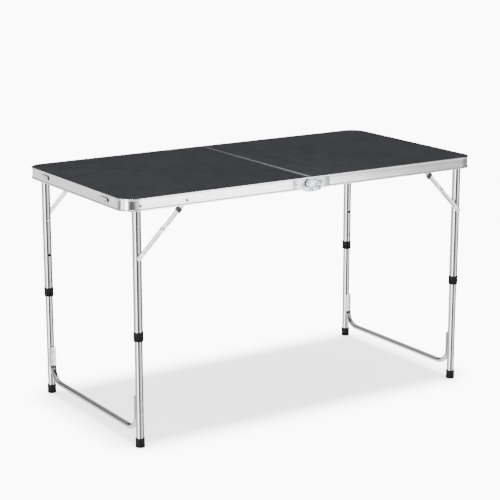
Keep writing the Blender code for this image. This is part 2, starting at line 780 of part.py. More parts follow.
def bar_stations(side_x):
    """Half of the crossbar, as (centre, half width, half thickness, lean) from an arm's top down."""
    plate_y = LEG_Y - LOWER_RADIUS - GAP - ARM_HALF_THICKNESS
    bend_z = BAR_Z + BAR_BEND
    x = side_x * LEG_X
    flat = (ARM_HALF_WIDTH, ARM_HALF_THICKNESS)
    stations = [((x, plate_y, z), *flat, 0.0) for z in (ARM_TOP, 0.118, bend_z + 0.004)]
    flare_angle = math.radians(45)
    steps = 7
    for step in range(steps + 1):
        lean = math.pi / 2 * step / steps
        share = min(lean / flare_angle, 1.0)
        share = share * share * (3 - 2 * share)
        y = plate_y - BAR_BEND * (1 - math.cos(lean))
        z = bend_z - BAR_BEND * math.sin(lean)
        width = flat[0] + (BAR_RADIUS - flat[0]) * share
        thickness = flat[1] + (BAR_RADIUS - flat[1]) * share
        stations.append(((x, y, z), width, thickness, lean))
    return stations


def bar_ring(work, station, side_y, count=12):
    """One oval section of the crossbar."""
    centre, width, thickness, lean = station
    across = Vector((0, side_y * math.cos(lean), -math.sin(lean)))
    middle = Vector((centre[0], side_y * centre[1], centre[2]))
    made = []
    for step in range(count):
        angle = 2 * math.pi * step / count
        offset = Vector((width * math.cos(angle), 0, 0))
        made.append(work.verts.new(middle + offset + across * thickness * math.sin(angle)))
    return made


def crossbar(side_x):
    """A tube bent to a U, its ends beaten flat against the legs and riveted there."""
    stations = bar_stations(side_x)
    work = bmesh.new()
    rings = [bar_ring(work, station, -1) for station in stations]
    far = [bar_ring(work, station, 1) for station in reversed(stations)]
    rings += far
    count = len(rings[0])
    for first, second in zip(rings, rings[1:]):
        for step in range(count):
            after = (step + 1) % count
            work.faces.new((first[step], first[after], second[after], second[step]))
    work.faces.new(rings[0])
    work.faces.new(rings[-1])
    bmesh.ops.recalc_face_normals(work, faces=work.faces)
    mesh = bpy.data.meshes.new("crossbar")
    work.to_mesh(mesh)
    work.free()
    part = add_part(f"crossbar_{side_name(side_x)}", mesh, TUBE_ALUMINIUM)
    inner = LEG_Y - LOWER_RADIUS - GAP - ARM_HALF_THICKNESS
    outer = LEG_Y + LOWER_RADIUS + GAP
    rivet = stepped(
        (BAR_HEAD, outer + HEAD, outer),
        (BAR_SHANK, outer, inner),
        (BAR_HEAD, inner, inner - ARM_HALF_THICKNESS - HEAD),
    )
    for side_y in (-1, 1):
        for z in ARM_RIVET_Z:
            at = (side_x * LEG_X, 0, z)
            join(part, turned(rivet, at, (0, side_y, 0), RIVET_STEPS))


# ---------------------------------------------------------------- braces


def brace_middle():
    return ((BRACE_RAIL_X + LEG_X) / 2, (PIVOT_Z + BRACE_LEG_Z) / 2)


def upper_strap(side_x, side_y, name):
    """The strap on the rail, with the stud it turns on and the outer half of the middle rivet."""
    layer = UPPER_STRAP_Y
    top = layer + PLATE
    start = (side_x * BRACE_RAIL_X, PIVOT_Z)
    middle = (side_x * brace_middle()[0], brace_middle()[1])
    outline = stadium(start, middle, STRAP_HALF_WIDTH)
    mesh = plate([outline], side_y * layer, side_y * top, "XZ")
    part = add_part(f"brace_upper_{name}", mesh, ZINC_STEEL)
    out = (0, side_y, 0)
    stud = stepped(
        (STUD_HEAD, OUTER_HEAD_Y, WALL_Y + GAP), (STRAP_SHANK, WALL_Y + GAP, layer + SINK)
    )
    join(part, turned(stud, (start[0], 0, start[1]), out, RIVET_STEPS))
    head = stepped((STRAP_HEAD, top + HEAD, top - SINK))
    join(part, turned(head, (middle[0], 0, middle[1]), out, RIVET_STEPS))
    put_origin(part, (start[0], side_y * layer, start[1]))


def lower_strap(side_x, side_y, name):
    """The strap on the leg, with the rivet it turns on and the inner half of the middle rivet."""
    layer = LOWER_STRAP_Y
    top = layer + PLATE
    start = (side_x * LEG_X, BRACE_LEG_Z)
    middle = (side_x * brace_middle()[0], brace_middle()[1])
    outline = stadium(start, middle, STRAP_HALF_WIDTH)
    mesh = plate([outline], side_y * layer, side_y * top, "XZ")
    part = add_part(f"brace_lower_{name}", mesh, ZINC_STEEL)
    out = (0, side_y, 0)
    inner = LEG_Y - UPPER_RADIUS - GAP
    rivet = stepped(
        (STRAP_HEAD, top + LOW_HEAD, top - SINK),
        (STRAP_SHANK, top - SINK, inner),
        (STRAP_HEAD, inner, inner - HEAD),
    )
    join(part, turned(rivet, (start[0], 0, start[1]), out, RIVET_STEPS))
    head = stepped((STRAP_HEAD, layer + SINK, layer - LOW_HEAD))
    join(part, turned(head, (middle[0], 0, middle[1]), out, RIVET_STEPS))
    put_origin(part, (start[0], side_y * layer, start[1]))


def brace_slider(side_x, side_y, name):
    """The plastic clip that slides along the upper strap."""
    low = UPPER_STRAP_Y - CLIP_UNDER
    slot_low = UPPER_STRAP_Y - GAP
    slot_high = UPPER_STRAP_Y + PLATE + GAP
    high = slot_high + CLIP_OVER
    slot = STRAP_HALF_WIDTH + GAP
    half = slot + CLIP_WALL
    lip = slot - CLIP_LIP
    right = [(half, high), (half, low), (lip, low), (lip, slot_low)]
    right += [(slot, slot_low), (slot, slot_high)]
    left = [(-x, y) for x, y in reversed(right)]
    mesh = plate([right + left], -SLIDER_LENGTH / 2, SLIDER_LENGTH / 2, "XY")
    slope = math.sqrt(0.5)
    along = Vector((side_x * slope, 0, -slope))
    across = Vector((side_x * slope, 0, slope))
    rivet = Vector((side_x * BRACE_RAIL_X, 0, PIVOT_Z))
    matrix = frame_matrix(across, (0, side_y, 0), along, rivet + along * SLIDER_PLACE)
    part = add_part(f"brace_slider_{name}", placed(mesh, matrix), BLACK_PLASTIC)
    put_origin(part, rivet + along * SLIDER_PLACE + Vector((0, side_y * high, 0)))


# ---------------------------------------------------------------- the whole table


def build_corner(side_x, side_y):
    """Everything that each of the four corners has."""
    name = f"{face_name(side_y)}_{side_name(side_x)}"
    side_rail(side_x, side_y)
    hinge_leaf(side_x, side_y)
    for piece in (
        upper_tube,
        collar,
        lower_tube,
        foot,
        snap_button,
        leg_pivot_rivet,
        upper_strap,
        lower_strap,
        brace_slider,
    ):
        piece(side_x, side_y, name)


def build_table():
    clear_scene()
    for side_x in (-1, 1):
        board(side_x)
        seam_trim(side_x)
        end_rail(side_x)
        crossbar(side_x)
        for side_y in (-1, 1):
            build_corner(side_x, side_y)
    for side_y in (-1, 1):
        centre_hook(side_y)
    for y, place in zip(CASE_PIVOT_Y, ("front", "back")):
        case_hook(y, f"case_hook_{place}")
        case_keeper(y, f"case_keeper_{place}")
    carry_handle()


build_table()
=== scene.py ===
"""Folding picnic table: its finished pieces and a plain studio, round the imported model."""

import json
import math

import bmesh
import bpy
from bpy.props import FloatProperty, FloatVectorProperty, IntProperty, PointerProperty
from mathutils import Matrix, Vector


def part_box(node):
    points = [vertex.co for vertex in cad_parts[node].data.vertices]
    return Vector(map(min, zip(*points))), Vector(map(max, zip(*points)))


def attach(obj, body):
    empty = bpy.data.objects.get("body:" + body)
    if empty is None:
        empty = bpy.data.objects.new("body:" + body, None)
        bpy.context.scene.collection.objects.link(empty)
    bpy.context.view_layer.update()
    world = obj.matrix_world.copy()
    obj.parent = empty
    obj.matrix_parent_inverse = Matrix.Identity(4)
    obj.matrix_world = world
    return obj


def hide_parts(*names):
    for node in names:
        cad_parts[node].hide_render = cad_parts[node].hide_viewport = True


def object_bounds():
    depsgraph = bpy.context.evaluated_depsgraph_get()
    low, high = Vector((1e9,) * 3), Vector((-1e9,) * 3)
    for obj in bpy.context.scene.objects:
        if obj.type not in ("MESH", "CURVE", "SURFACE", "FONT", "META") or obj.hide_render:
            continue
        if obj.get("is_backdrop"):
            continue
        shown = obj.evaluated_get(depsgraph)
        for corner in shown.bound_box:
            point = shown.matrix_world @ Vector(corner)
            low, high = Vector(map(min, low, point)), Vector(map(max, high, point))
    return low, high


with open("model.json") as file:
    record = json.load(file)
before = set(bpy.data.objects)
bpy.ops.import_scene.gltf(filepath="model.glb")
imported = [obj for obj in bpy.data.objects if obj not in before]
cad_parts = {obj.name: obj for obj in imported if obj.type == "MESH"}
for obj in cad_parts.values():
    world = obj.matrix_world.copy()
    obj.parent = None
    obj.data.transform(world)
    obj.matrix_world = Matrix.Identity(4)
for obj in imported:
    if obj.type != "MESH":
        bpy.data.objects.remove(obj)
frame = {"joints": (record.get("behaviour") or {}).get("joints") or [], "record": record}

bl_info = {
    "name": "Folding picnic table", "version": (1, 0, 0), "blender": (4, 5, 0),
    "location": "View3D > Sidebar > Picnic Table",
    "description": "Builds the table's finished pieces and a studio to see them in",
    "category": "Object",
}

SIDES = (("left", -1), ("right", 1))
FACES = (("front", -1), ("back", 1))
CORNERS = [
    (f"{face}_{side}", side_x, side_y)
    for side, side_x in SIDES
    for face, side_y in FACES
]
PIECE_BODY = {
    node: body
    for body, nodes in frame["record"]["behaviour"]["bodies"].items()
    for node in nodes
}
JOINTS = {joint["name"]: joint for joint in frame["joints"]}

# Planes a flat piece can lie in: its outline's two axes, then its thickness
PLANES = {
    "XY": ((1, 0, 0), (0, 1, 0), (0, 0, 1)), "XZ": ((1, 0, 0), (0, 0, 1), (0, 1, 0)),
    "YZ": ((0, 1, 0), (0, 0, 1), (1, 0, 0)),
}


# ---------------------------------------------------------------- sizes and colours


class PicnicSizes(bpy.types.PropertyGroup):
    """Thicknesses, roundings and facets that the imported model's boxes don't give."""

    rail_wall: FloatProperty(
        name="Rail wall", description="Thickness of the rail's upright wall",
        default=0.0015, unit="LENGTH",
    )
    bead: FloatProperty(
        name="Bead", description="How far the rail's beads stand out from its wall",
        default=0.0020, unit="LENGTH",
    )
    bend: FloatProperty(
        name="Bend",
        description="Radius of the round corners, at the wall's outer face",
        default=0.0460, unit="LENGTH",
    )
    plate: FloatProperty(
        name="Plate", description="Thickness of the hinge, hook and strap steel",
        default=0.0015, unit="LENGTH",
    )
    edge: FloatProperty(
        name="Edge", description="Rounding of a stamped plate's edges", default=0.00028,
        unit="LENGTH",
    )
    tube_wall: FloatProperty(
        name="Tube wall", description="Wall thickness of the leg tubes", default=0.0011,
        unit="LENGTH",
    )
    hole_pitch: FloatProperty(
        name="Hole pitch", description="Distance between the height holes of a leg",
        default=0.078, unit="LENGTH",
    )
    flute: FloatProperty(
        name="Flute", description="Depth of the grip flutes on the collars and feet",
        default=0.00035, unit="LENGTH",
    )
    facets: IntProperty(
        name="Facets", description="Facets round a leg tube", default=56,
    )


class PicnicColours(bpy.types.PropertyGroup):
    """Base colours of the finishes."""

    frame: FloatVectorProperty(
        name="Frame", description="Satin aluminium of the rails",
        default=(0.78, 0.785, 0.78), subtype="COLOR",
    )
    tube: FloatVectorProperty(
        name="Tube", description="Bright aluminium of the legs",
        default=(0.54, 0.55, 0.555), subtype="COLOR",
    )
    zinc: FloatVectorProperty(
        name="Zinc", description="Blue-white zinc plating of the steel parts",
        default=(0.74, 0.80, 0.84), subtype="COLOR",
    )
    plastic: FloatVectorProperty(
        name="Plastic", description="Black moulded plastic",
        default=(0.006, 0.006, 0.0065), subtype="COLOR",
    )
    clip: FloatVectorProperty(
        name="Clip", description="Dark grey plastic of the brace clips",
        default=(0.030, 0.034, 0.037), subtype="COLOR",
    )
    board: FloatVectorProperty(
        name="Board", description="Dark grey laminate of the top",
        default=(0.0150, 0.0160, 0.0190), subtype="COLOR",
    )


# ---------------------------------------------------------------- shader maths


class Value:
    """A socket of a finish, so that shader maths reads as an expression."""

    def __init__(self, finish, socket):
        self.finish = finish
        self.socket = socket

    def __add__(self, other):
        return self.finish.maths("ADD", self, other)

    def __sub__(self, other):
        return self.finish.maths("SUBTRACT", self, other)

    def __rsub__(self, other):
        return self.finish.maths("SUBTRACT", other, self)

    def __mul__(self, other):
        return self.finish.maths("MULTIPLY", self, other)

    def __truediv__(self, other):
        return self.finish.maths("DIVIDE", self, other)

    def __pow__(self, other):
        return self.finish.maths("POWER", self, other)

    __radd__ = __add__
    __rmul__ = __mul__


class Nodes:
    """A node tree that is written as expressions."""

    def __init__(self, tree):
        self.tree = tree

    def node(self, kind, settings=None, inputs=None, output=0):
        """A new node of any type, with its settings first and then its sockets."""
        made = self.tree.nodes.new(kind)
        for name, setting in (settings or {}).items():
            if name == "stops":
                self.set_stops(made.color_ramp, setting)
            else:
                setattr(made, name, setting)
        for name, value in (inputs or {}).items():
            self.feed(made.inputs[name], value)
        return Value(self, made.outputs[output])

    def set_stops(self, ramp, stops):
        while len(ramp.elements) < len(stops):
            ramp.elements.new(1.0)
        for stop, (position, level) in zip(ramp.elements, stops):
            stop.position = position
            stop.color = (level, level, level, 1.0)

    def feed(self, socket, value):
        if isinstance(value, Value):
            self.tree.links.new(value.socket, socket)
        else:
            socket.default_value = value

    def maths(self, operation, first, second):
        settings = {"operation": operation}
        return self.node("ShaderNodeMath", settings, {0: first, 1: second})

    def brightness(self, place, stops):
        """A level read off a ramp, which holds at most 1 and is scaled back up."""
        most = max(level for _, level in stops)
        scaled = [(position, level / most) for position, level in stops]
        return self.node("ShaderNodeValToRGB", {"stops": scaled}, {"Fac": place}) * most


class Finish(Nodes):
    """A procedural material round one Principled shader."""

    def __init__(self, name, metallic=0.0):
        self.material = bpy.data.materials.new(name)
        self.material.use_nodes = True
        super().__init__(self.material.node_tree)
        self.shader = self.tree.nodes["Principled BSDF"]
        self.shader.inputs["Metallic"].default_value = metallic
        self.place = self.node("ShaderNodeTexCoord", output="Object")

    def stretched(self, factors):
        """The piece's own coordinates, scaled along each axis."""
        settings = {"operation": "MULTIPLY"}
        return self.node("ShaderNodeVectorMath", settings, {0: self.place, 1: factors})

    def noise(self, scale, detail=2.0, roughness=0.5, where=None):
        inputs = {
            "Vector": where or self.place, "Scale": scale, "Detail": detail,
            "Roughness": roughness,
        }
        return self.node("ShaderNodeTexNoise", None, inputs, "Fac")

    def ramp(self, value, low, high):
        """0 below low, 1 above high and a smooth step between."""
        settings = {"interpolation_type": "SMOOTHSTEP", "clamp": True}
        inputs = {"Value": value, "From Min": low, "From Max": high}
        return self.node("ShaderNodeMapRange", settings, inputs)

    def mix(self, share, first, second):
        inputs = {"Factor": share, 6: rgba(first), 7: rgba(second)}
        return self.node("ShaderNodeMix", {"data_type": "RGBA"}, inputs, 2)

    def bump(self, height, strength, distance):
        inputs = {"Height": height, "Strength": strength, "Distance": distance}
        return self.node("ShaderNodeBump", None, inputs)

    def surface(self, **sockets):
        """Feeds the Principled shader: base_color=..., roughness=..., normal=..."""
        for name, value in sockets.items():
            words = name.replace("_", " ").title()
            value = value if isinstance(value, (Value, float)) else rgba(value)
            self.feed(self.shader.inputs[words], value)
        return self.material


def rgba(colour):
    """A colour with its alpha, unless it is a link."""
    return colour if isinstance(colour, Value) else (*colour, 1.0)[:4]


def shade(colour, factor):
    return tuple(channel * factor for channel in colour)


# ---------------------------------------------------------------- finishes


def drawn_aluminium(name, colour, grain, roughness, contrast, depth):
    """Aluminium with the fine lines of its drawing, faint clouds and scuffs."""
    finish = Finish(name, metallic=1.0)
    lines = finish.noise(1.0, 3.0, 0.65, finish.stretched(grain))
    wide = finish.noise(0.22, 2.0, 0.5, finish.stretched(grain))
    cloud = finish.noise(14.0, 3.0)
    specks = finish.ramp(finish.noise(420.0, 1.0), 0.62, 0.74)
    scuff = finish.ramp(finish.noise(38.0, 4.0, 0.7), 0.60, 0.72)
    tone = (lines - 0.5) * contrast + (wide - 0.5) * contrast + (cloud - 0.5) * 0.25
    base = finish.mix(
        finish.ramp(tone, -0.5, 0.5), shade(colour, 0.86), shade(colour, 1.10)
    )
    base = finish.mix(specks * 0.16, base, shade(colour, 0.62))
    rough = roughness + tone * 0.16 + scuff * 0.09 + specks * 0.08
    height = lines * 0.7 + wide * 0.3
    return finish.surface(
        base_color=base, roughness=rough, normal=finish.bump(height, depth, 0.00012)
    )


def zinc_plate(name, colour):
    """Bright zinc on stamped steel: a bluish cloud with small dull patches."""
    finish = Finish(name, metallic=1.0)
    cloud = finish.noise(55.0, 3.0, 0.6)
    grain = finish.noise(900.0, 2.0)
    stain = finish.ramp(finish.noise(130.0, 3.0, 0.6), 0.58, 0.75)
    base = finish.mix(
        finish.ramp(cloud, 0.35, 0.65), shade(colour, 0.93), shade(colour, 1.08)
    )
    base = finish.mix(stain * 0.15, base, (0.62, 0.60, 0.50))
    rough = 0.26 + (cloud - 0.5) * 0.16 + stain * 0.10
    height = grain * 0.7 + cloud * 0.3
    return finish.surface(
        base_color=base, roughness=rough, normal=finish.bump(height, 0.07, 0.00010)
    )


def painted_shade(name, colour):
    """Painted shade down the bores and behind the windows: dark, rough and a little brown.
    """
    finish = Finish(name)
    finish.shader.inputs["Specular IOR Level"].default_value = 0.10
    cloud = finish.noise(320.0, 3.0, 0.6)
    tone = finish.ramp(cloud, 0.35, 0.68)
    base = finish.mix(tone, shade(colour, 0.6), (0.060, 0.052, 0.045))
    rough = 0.62 + (cloud - 0.5) * 0.3
    return finish.surface(
        base_color=base, roughness=rough, normal=finish.bump(cloud, 0.3, 0.00010)
    )


def moulded_plastic(name, colour, gloss):
    """Black plastic with a fine spark-eroded grain and a little dust."""
    finish = Finish(name)
    finish.shader.inputs["Specular IOR Level"].default_value = gloss
    grain = finish.noise(1600.0, 2.0)
    cloud = finish.noise(60.0, 3.0)
    dust = finish.ramp(finish.noise(240.0, 3.0, 0.7), 0.60, 0.80)
    base = finish.mix(cloud * 0.5 + dust * 0.25, colour, shade(colour, 3.2))
    rough = 0.46 + (cloud - 0.5) * 0.18 + dust * 0.14
    return finish.surface(
        base_color=base, roughness=rough, normal=finish.bump(grain, 0.35, 0.00008)
    )


def board_laminate(name, colour):
    """Dark laminate: a fine pebbled press grain, faint mottling and hairline rubs."""
    finish = Finish(name)
    finish.shader.inputs["Specular IOR Level"].default_value = 0.12
    pebble = finish.noise(1150.0, 2.0)
    mottle = finish.noise(22.0, 4.0, 0.6)
    speck = finish.ramp(finish.noise(700.0, 1.0), 0.66, 0.80)
    rub = finish.noise(1.0, 2.0, 0.5, finish.stretched((26.0, 900.0, 1.0)))
    rubs = finish.ramp(rub, 0.70, 0.76) * finish.ramp(mottle, 0.45, 0.60)
    tone = finish.ramp(mottle, 0.30, 0.70)
    base = finish.mix(tone, shade(colour, 0.86), shade(colour, 1.15))
    base = finish.mix(speck * 0.35, base, shade(colour, 2.1))
    base = finish.mix(rubs * 0.25, base, shade(colour, 2.4))
    rough = 0.40 + (mottle - 0.5) * 0.20 + rubs * 0.12
    return finish.surface(
        base_color=base, roughness=rough, normal=finish.bump(pebble, 0.20, 0.00010)
    )


def make_finishes(colours):
    """One finish for each of the record's slots, and two metals with another grain."""
    frame_colour = tuple(colours.frame)
    tube_colour = tuple(colours.tube)
    long_grain = (7.0, 7.0, 1700.0)
    return {
        "frame_aluminium": drawn_aluminium(
            "satin_frame", frame_colour, long_grain, 0.13, 0.75, 0.20
        ),
        "tube_aluminium": drawn_aluminium(
            "drawn_tube", tube_colour, (1500.0, 1500.0, 5.0), 0.11, 0.30, 0.03
        ),
        "bar_aluminium": drawn_aluminium(
            "drawn_bar", tube_colour, (1500.0, 5.0, 1500.0), 0.16, 0.30, 0.03
        ),
        "zinc_steel": zinc_plate("zinc_plate", tuple(colours.zinc)),
        # Painted shade for the dark discs down the bores and behind the windows
        "painted_shade": painted_shade("painted_shade", (0.035, 0.037, 0.040)),
        "black_plastic": moulded_plastic(
            "moulded_plastic", tuple(colours.plastic), 0.12
        ),
        "clip_plastic": moulded_plastic("clip_plastic", tuple(colours.clip), 0.40),
        "board_laminate": board_laminate("board_laminate", tuple(colours.board)),
    }


# ---------------------------------------------------------------- outlines


def arc(centre, radius, start, end, steps):
    """Points on an arc, its angles in degrees."""
    for step in range(steps + 1):
        angle = math.radians(start + (end - start) * step / steps)
        yield (
            centre[0] + radius * math.cos(angle), centre[1] + radius * math.sin(angle),
        )


def circle(centre, radius, steps=32):
    return list(arc(centre, radius, 0, 360, steps))[:-1]


def stadium(start, end, radius, steps=16):
    """Two half circles round the ends of a line."""
    way = math.degrees(math.atan2(end[1] - start[1], end[0] - start[0]))
    outline = list(arc(end, radius, way - 90, way + 90, steps))
    return outline + list(arc(start, radius, way + 90, way + 270, steps))


def softened(points, radius, steps=4):
    """A closed outline with each corner rounded, by less where its sides are short."""
    outline = []
    for index, point in enumerate(points):
        corner = Vector(point)
        before = Vector(points[index - 1]) - corner
        after = Vector(points[(index + 1) % len(points)]) - corner
        reach = min(radius, before.length * 0.45, after.length * 0.45)
        start = corner + before.normalized() * reach
        end = corner + after.normalized() * reach
        for step in range(steps + 1):
            share = step / steps
            bend = start * (1 - share) ** 2 + end * share**2
            outline.append(tuple(bend + corner * 2 * share * (1 - share)))
    return outline


def rectangle(low, high):
    return [(high[0], high[1]), (low[0], high[1]), (low[0], low[1]), (high[0], low[1])]


def mirrored(points, side):
    """The outline on the side that its sign names."""
    return [(side * point[0], *point[1:]) for point in points]


# ---------------------------------------------------------------- meshes


def finished(work, name="piece"):
    mesh = bpy.data.meshes.new(name)
    bmesh.ops.recalc_face_normals(work, faces=work.faces)
    work.to_mesh(mesh)
    work.free()
    return mesh


def bridge(work, first, second):
    """Faces between two rings, either of which may be a single point."""
    count = max(len(first), len(second))
    for step in range(count):
        after = (step + 1) % count
        corners = [first[step % len(first)], first[after % len(first)]]
        corners += [second[after % len(second)], second[step % len(second)]]
        work.faces.new(list(dict.fromkeys(corners)))


def skin(rings, closed=False):
    """A surface through rings of points, capped unless it closes on itself."""
    work = bmesh.new()
    made = [[work.verts.new(point) for point in ring] for ring in rings]
    for first, second in zip(made, made[1:] + (made[:1] if closed else [])):
        bridge(work, first, second)
    if not closed:
        for ring in (made[0], made[-1]):
            if len(ring) > 2:
                work.faces.new(ring)
    return finished(work)


def lathe(profile, at, towards, facets=32, closed=False, flutes=None):
    """A profile of (radius, height) points turned round an axis.

    flutes is (count, depth, low, high, least radius that they cut).
    """
    rings = []
    for radius, height in profile:
        if radius < 1e-6:
            rings.append([Vector((0, 0, height))])
            continue
        ring = []
        for step in range(facets):
            angle = 2 * math.pi * step / facets
            reach = radius - flute_depth(flutes, radius, height, angle)
            ring.append(
                Vector((reach * math.cos(angle), reach * math.sin(angle), height))
            )
        rings.append(ring)
    mesh = skin(rings, closed)
    turn = Vector((0, 0, 1)).rotation_difference(Vector(towards)).to_matrix().to_4x4()
    mesh.transform(Matrix.Translation(at) @ turn)
    return mesh


def flute_depth(flutes, radius, height, angle):
    """How deep the grip flutes cut at a point; they fade out at both ends."""
    if flutes is None:
        return 0.0
    count, depth, low, high, outside = flutes
    if radius < outside or not low < height < high:
        return 0.0
    return depth * (0.5 - 0.5 * math.cos(count * angle))


def plate(loops, low, high, plane, edge=0.0):
    """A flat outline between two heights, with rounded edges.

    Further loops are its holes.
    """
    curve = bpy.data.curves.new("outline", "CURVE")
    curve.dimensions = "2D"
    curve.fill_mode = "BOTH"
    curve.extrude = abs(high - low) / 2 - edge
    curve.bevel_depth = edge
    curve.bevel_resolution = 2
    curve.offset = -edge
    for loop in loops:
        spline = curve.splines.new("POLY")
        spline.points.add(len(loop) - 1)
        for knot, point in zip(spline.points, loop):
            knot.co = (point[0], point[1], 0.0, 1.0)
        spline.use_cyclic_u = True
    helper = bpy.data.objects.new("outline", curve)
    bpy.context.scene.collection.objects.link(helper)
    graph = bpy.context.evaluated_depsgraph_get()
    mesh = bpy.data.meshes.new_from_object(helper.evaluated_get(graph))
    bpy.data.objects.remove(helper, do_unlink=True)
    axes = [Vector(axis) for axis in PLANES[plane]]
    turn = Matrix(axes).transposed().to_4x4()
    mesh.transform(Matrix.Translation(axes[2] * (low + high) / 2) @ turn)
    work = bmesh.new()
    work.from_mesh(mesh)
    bmesh.ops.remove_doubles(work, verts=work.verts, dist=1e-6)
    bpy.data.meshes.remove(mesh)
    return finished(work)


def block(low, high, edge):
    """A box with rounded edges."""
    work = bmesh.new()
    bmesh.ops.create_cube(work, size=1.0)
    size = Vector(high) - Vector(low)
    bmesh.ops.scale(work, vec=size, verts=work.verts)
    bmesh.ops.translate(work, vec=(Vector(high) + Vector(low)) / 2, verts=work.verts)
    bmesh.ops.bevel(
        work, geom=work.edges, offset=edge, segments=3, profile=0.5, affect="EDGES"
    )
    return finished(work)


def gather(meshes):
    """Several shells in one mesh."""
    work = bmesh.new()
    for mesh in meshes:
        work.from_mesh(mesh)
        bpy.data.meshes.remove(mesh)
    made = bpy.data.meshes.new("piece")
    work.to_mesh(made)
    work.free()
    return made


def drilled(mesh, cutters):
    """The mesh with each cutter taken out of it."""
    scene = bpy.context.scene
    target = bpy.data.objects.new("drilled", mesh)
    scene.collection.objects.link(target)
    tool = bpy.data.objects.new("cutter", gather(cutters))
    scene.collection.objects.link(tool)
    modifier = target.modifiers.new("drill", "BOOLEAN")
    modifier.operation = "DIFFERENCE"
    modifier.solver = "EXACT"
    modifier.object = tool
    graph = bpy.context.evaluated_depsgraph_get()
    made = bpy.data.meshes.new_from_object(target.evaluated_get(graph))
    for helper in (target, tool):
        bpy.data.objects.remove(helper, do_unlink=True)
    return made


def rod(radius, at, towards, low, high, facets=32):
    profile = [(0.0, high), (radius, high), (radius, low), (0.0, low)]
    return lathe(profile, at, towards, facets)


def domed_head(radius, base, rise, at, towards, facets=32):
    """A round rivet head: a short rim and a dome."""
    rim = rise * 0.30
    profile = [(0.0, base - rise * 0.2), (radius, base - rise * 0.2)]
    for step in range(9):
        angle = math.pi / 2 * step / 8
        height = base + rim + (rise - rim) * math.sin(angle)
        profile.append((radius * math.cos(angle) ** 0.8, height))
    profile[-1] = (0.0, base + rise)
    return lathe(profile, at, towards, facets)


def punched_head(radius, base, rise, at, towards):
    """A tubular rivet's rolled head with the open bore in its middle."""
    bore = radius * 0.42
    profile = [
        (0.0, base - rise * 0.2), (radius, base - rise * 0.2),
        (radius, base + rise * 0.40), (radius * 0.95, base + rise * 0.68),
        (radius * 0.84, base + rise * 0.92), (radius * 0.70, base + rise),
        (radius * 0.56, base + rise * 0.94), (radius * 0.46, base + rise * 0.74),
        (bore, base + rise * 0.50), (bore, base + rise * 0.02),
        (0.0, base + rise * 0.02),
    ]
    return lathe(profile, at, towards, 32)


def bore_shade_disc(radius, base, rise, at, towards):
    """A dark disc of painted shade down a rivet's bore."""
    reach = radius * 0.41
    profile = [
        (0.0, base + rise * 0.30), (reach * 0.7, base + rise * 0.26),
        (reach, base + rise * 0.16), (reach, base + rise * 0.04),
        (0.0, base + rise * 0.04),
    ]
    return lathe(profile, at, towards, 24)


def add_bores(node, heads):
    """Dark discs of painted shade down a node's rivet bores, one for each punched head."""
    floors = [bore_shade_disc(*head) for head in heads]
    add_painted_shade(f"{node}_bores", floors, PIECE_BODY[node])


def add_painted_shade(name, meshes, body):
    """Adds dark discs of painted shade down a bore or behind a window."""
    add_piece(name, meshes, "painted_shade", body=body)


def add_skin(node, meshes, finish):
    """The visible piece that takes a node's place."""
    return add_piece(f"{node}_skin", meshes, finish, node)


def add_piece(name, meshes, finish, node=None, body=None):
    """A visible piece: it takes a node's place, or rides on a body as an extra."""
    mesh = gather(meshes)
    mesh.name = name
    mesh.materials.clear()
    mesh.materials.append(FINISHES[finish])
    for face in mesh.polygons:
        face.material_index = 0
    mesh.shade_smooth()
    mesh.set_sharp_from_angle(angle=math.radians(32))
    piece = bpy.data.objects.new(name, mesh)
    bpy.context.scene.collection.objects.link(piece)
    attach(piece, body or PIECE_BODY[node])
    if node:
        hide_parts(node)
    return piece


FINISHES = {}

# The clearance between pieces that turn or slide on each other
GAP = 0.0003
LOWER_TUBE_RADIUS = 0.0110
UPPER_TUBE_RADIUS = 0.0125
COLLAR_BORE = 0.0113
WINDOW_RADIUS = 0.0112
CASE_WINDOW_RADIUS = 0.0062
CROSSBAR_RIVETS = (0.098, 0.130)
# How far a button's middle lies below its spring's top
BUTTON_DROP = 0.010


# ---------------------------------------------------------------- places in the frame


def middle(node):
    low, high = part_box(node)
    return (Vector(low) + Vector(high)) / 2


def joint_place(name):
    return Vector(JOINTS[name]["pos_m"])


def rail_place():
    """(outer wall x, outer wall y, low z, high z) of the frame."""
    low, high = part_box("side_rail_back_right")
    bead = bpy.context.scene.picnic_sizes.bead
    return high[0] - bead, high[1] - bead, low[2], high[2]


# ---------------------------------------------------------------- frame and top


def rail_section(sizes, height):
    """The rail's section as (out from the wall's face, up from the top edge)."""
    bead = sizes.bead
    wall = -sizes.rail_wall
    lip = -0.0055
    points = [
        (wall, -height), (bead, -height), (bead, -height + 0.0036),
        (0.0, -height + 0.0046), (0.0, -0.0046), (bead, -0.0036), (bead, 0.0),
        (lip, 0.0), (lip, -0.0009), (wall, -0.0009), (wall, -0.0060), (lip, -0.0060),
        (lip, -0.0071), (wall, -0.0071),
    ]
    return softened(points, 0.0009, 4)


def rail_mesh(section, stations, top):
    """The section carried along (x, y, outward x, outward y) stations."""
    rings = []
    for x, y, out_x, out_y in stations:
        ring = [Vector((x + out_x * n, y + out_y * n, top + z)) for n, z in section]
        rings.append(ring)
    return skin(rings)


def bend_stations(sizes, wall_x, wall_y, steps=24):
    """Stations of a side rail, from the seam round the corner to the end rail."""
    centre = (wall_x - sizes.bend, wall_y - sizes.bend)
    tail = 0.002
    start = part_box("side_rail_back_right")[0][0]
    stations = [(start, wall_y, 0.0, 1.0)]
    for step in range(steps + 1):
        angle = math.pi / 2 * (1 - step / steps)
        out = (math.cos(angle), math.sin(angle))
        stations.append(
            (centre[0] + sizes.bend * out[0], centre[1] + sizes.bend * out[1], *out)
        )
    stations.append((wall_x, centre[1] - tail, 1.0, 0.0))
    return stations


def hook_window(wall_y, side_y):
    """The round window behind the centre hook's free end."""
    joint = joint_place("centre_hook_front_turn")
    at = (-0.013, 0, joint.z)
    return rod(WINDOW_RADIUS, at, (0, side_y, 0), wall_y - 0.004, wall_y + 0.004, 48)


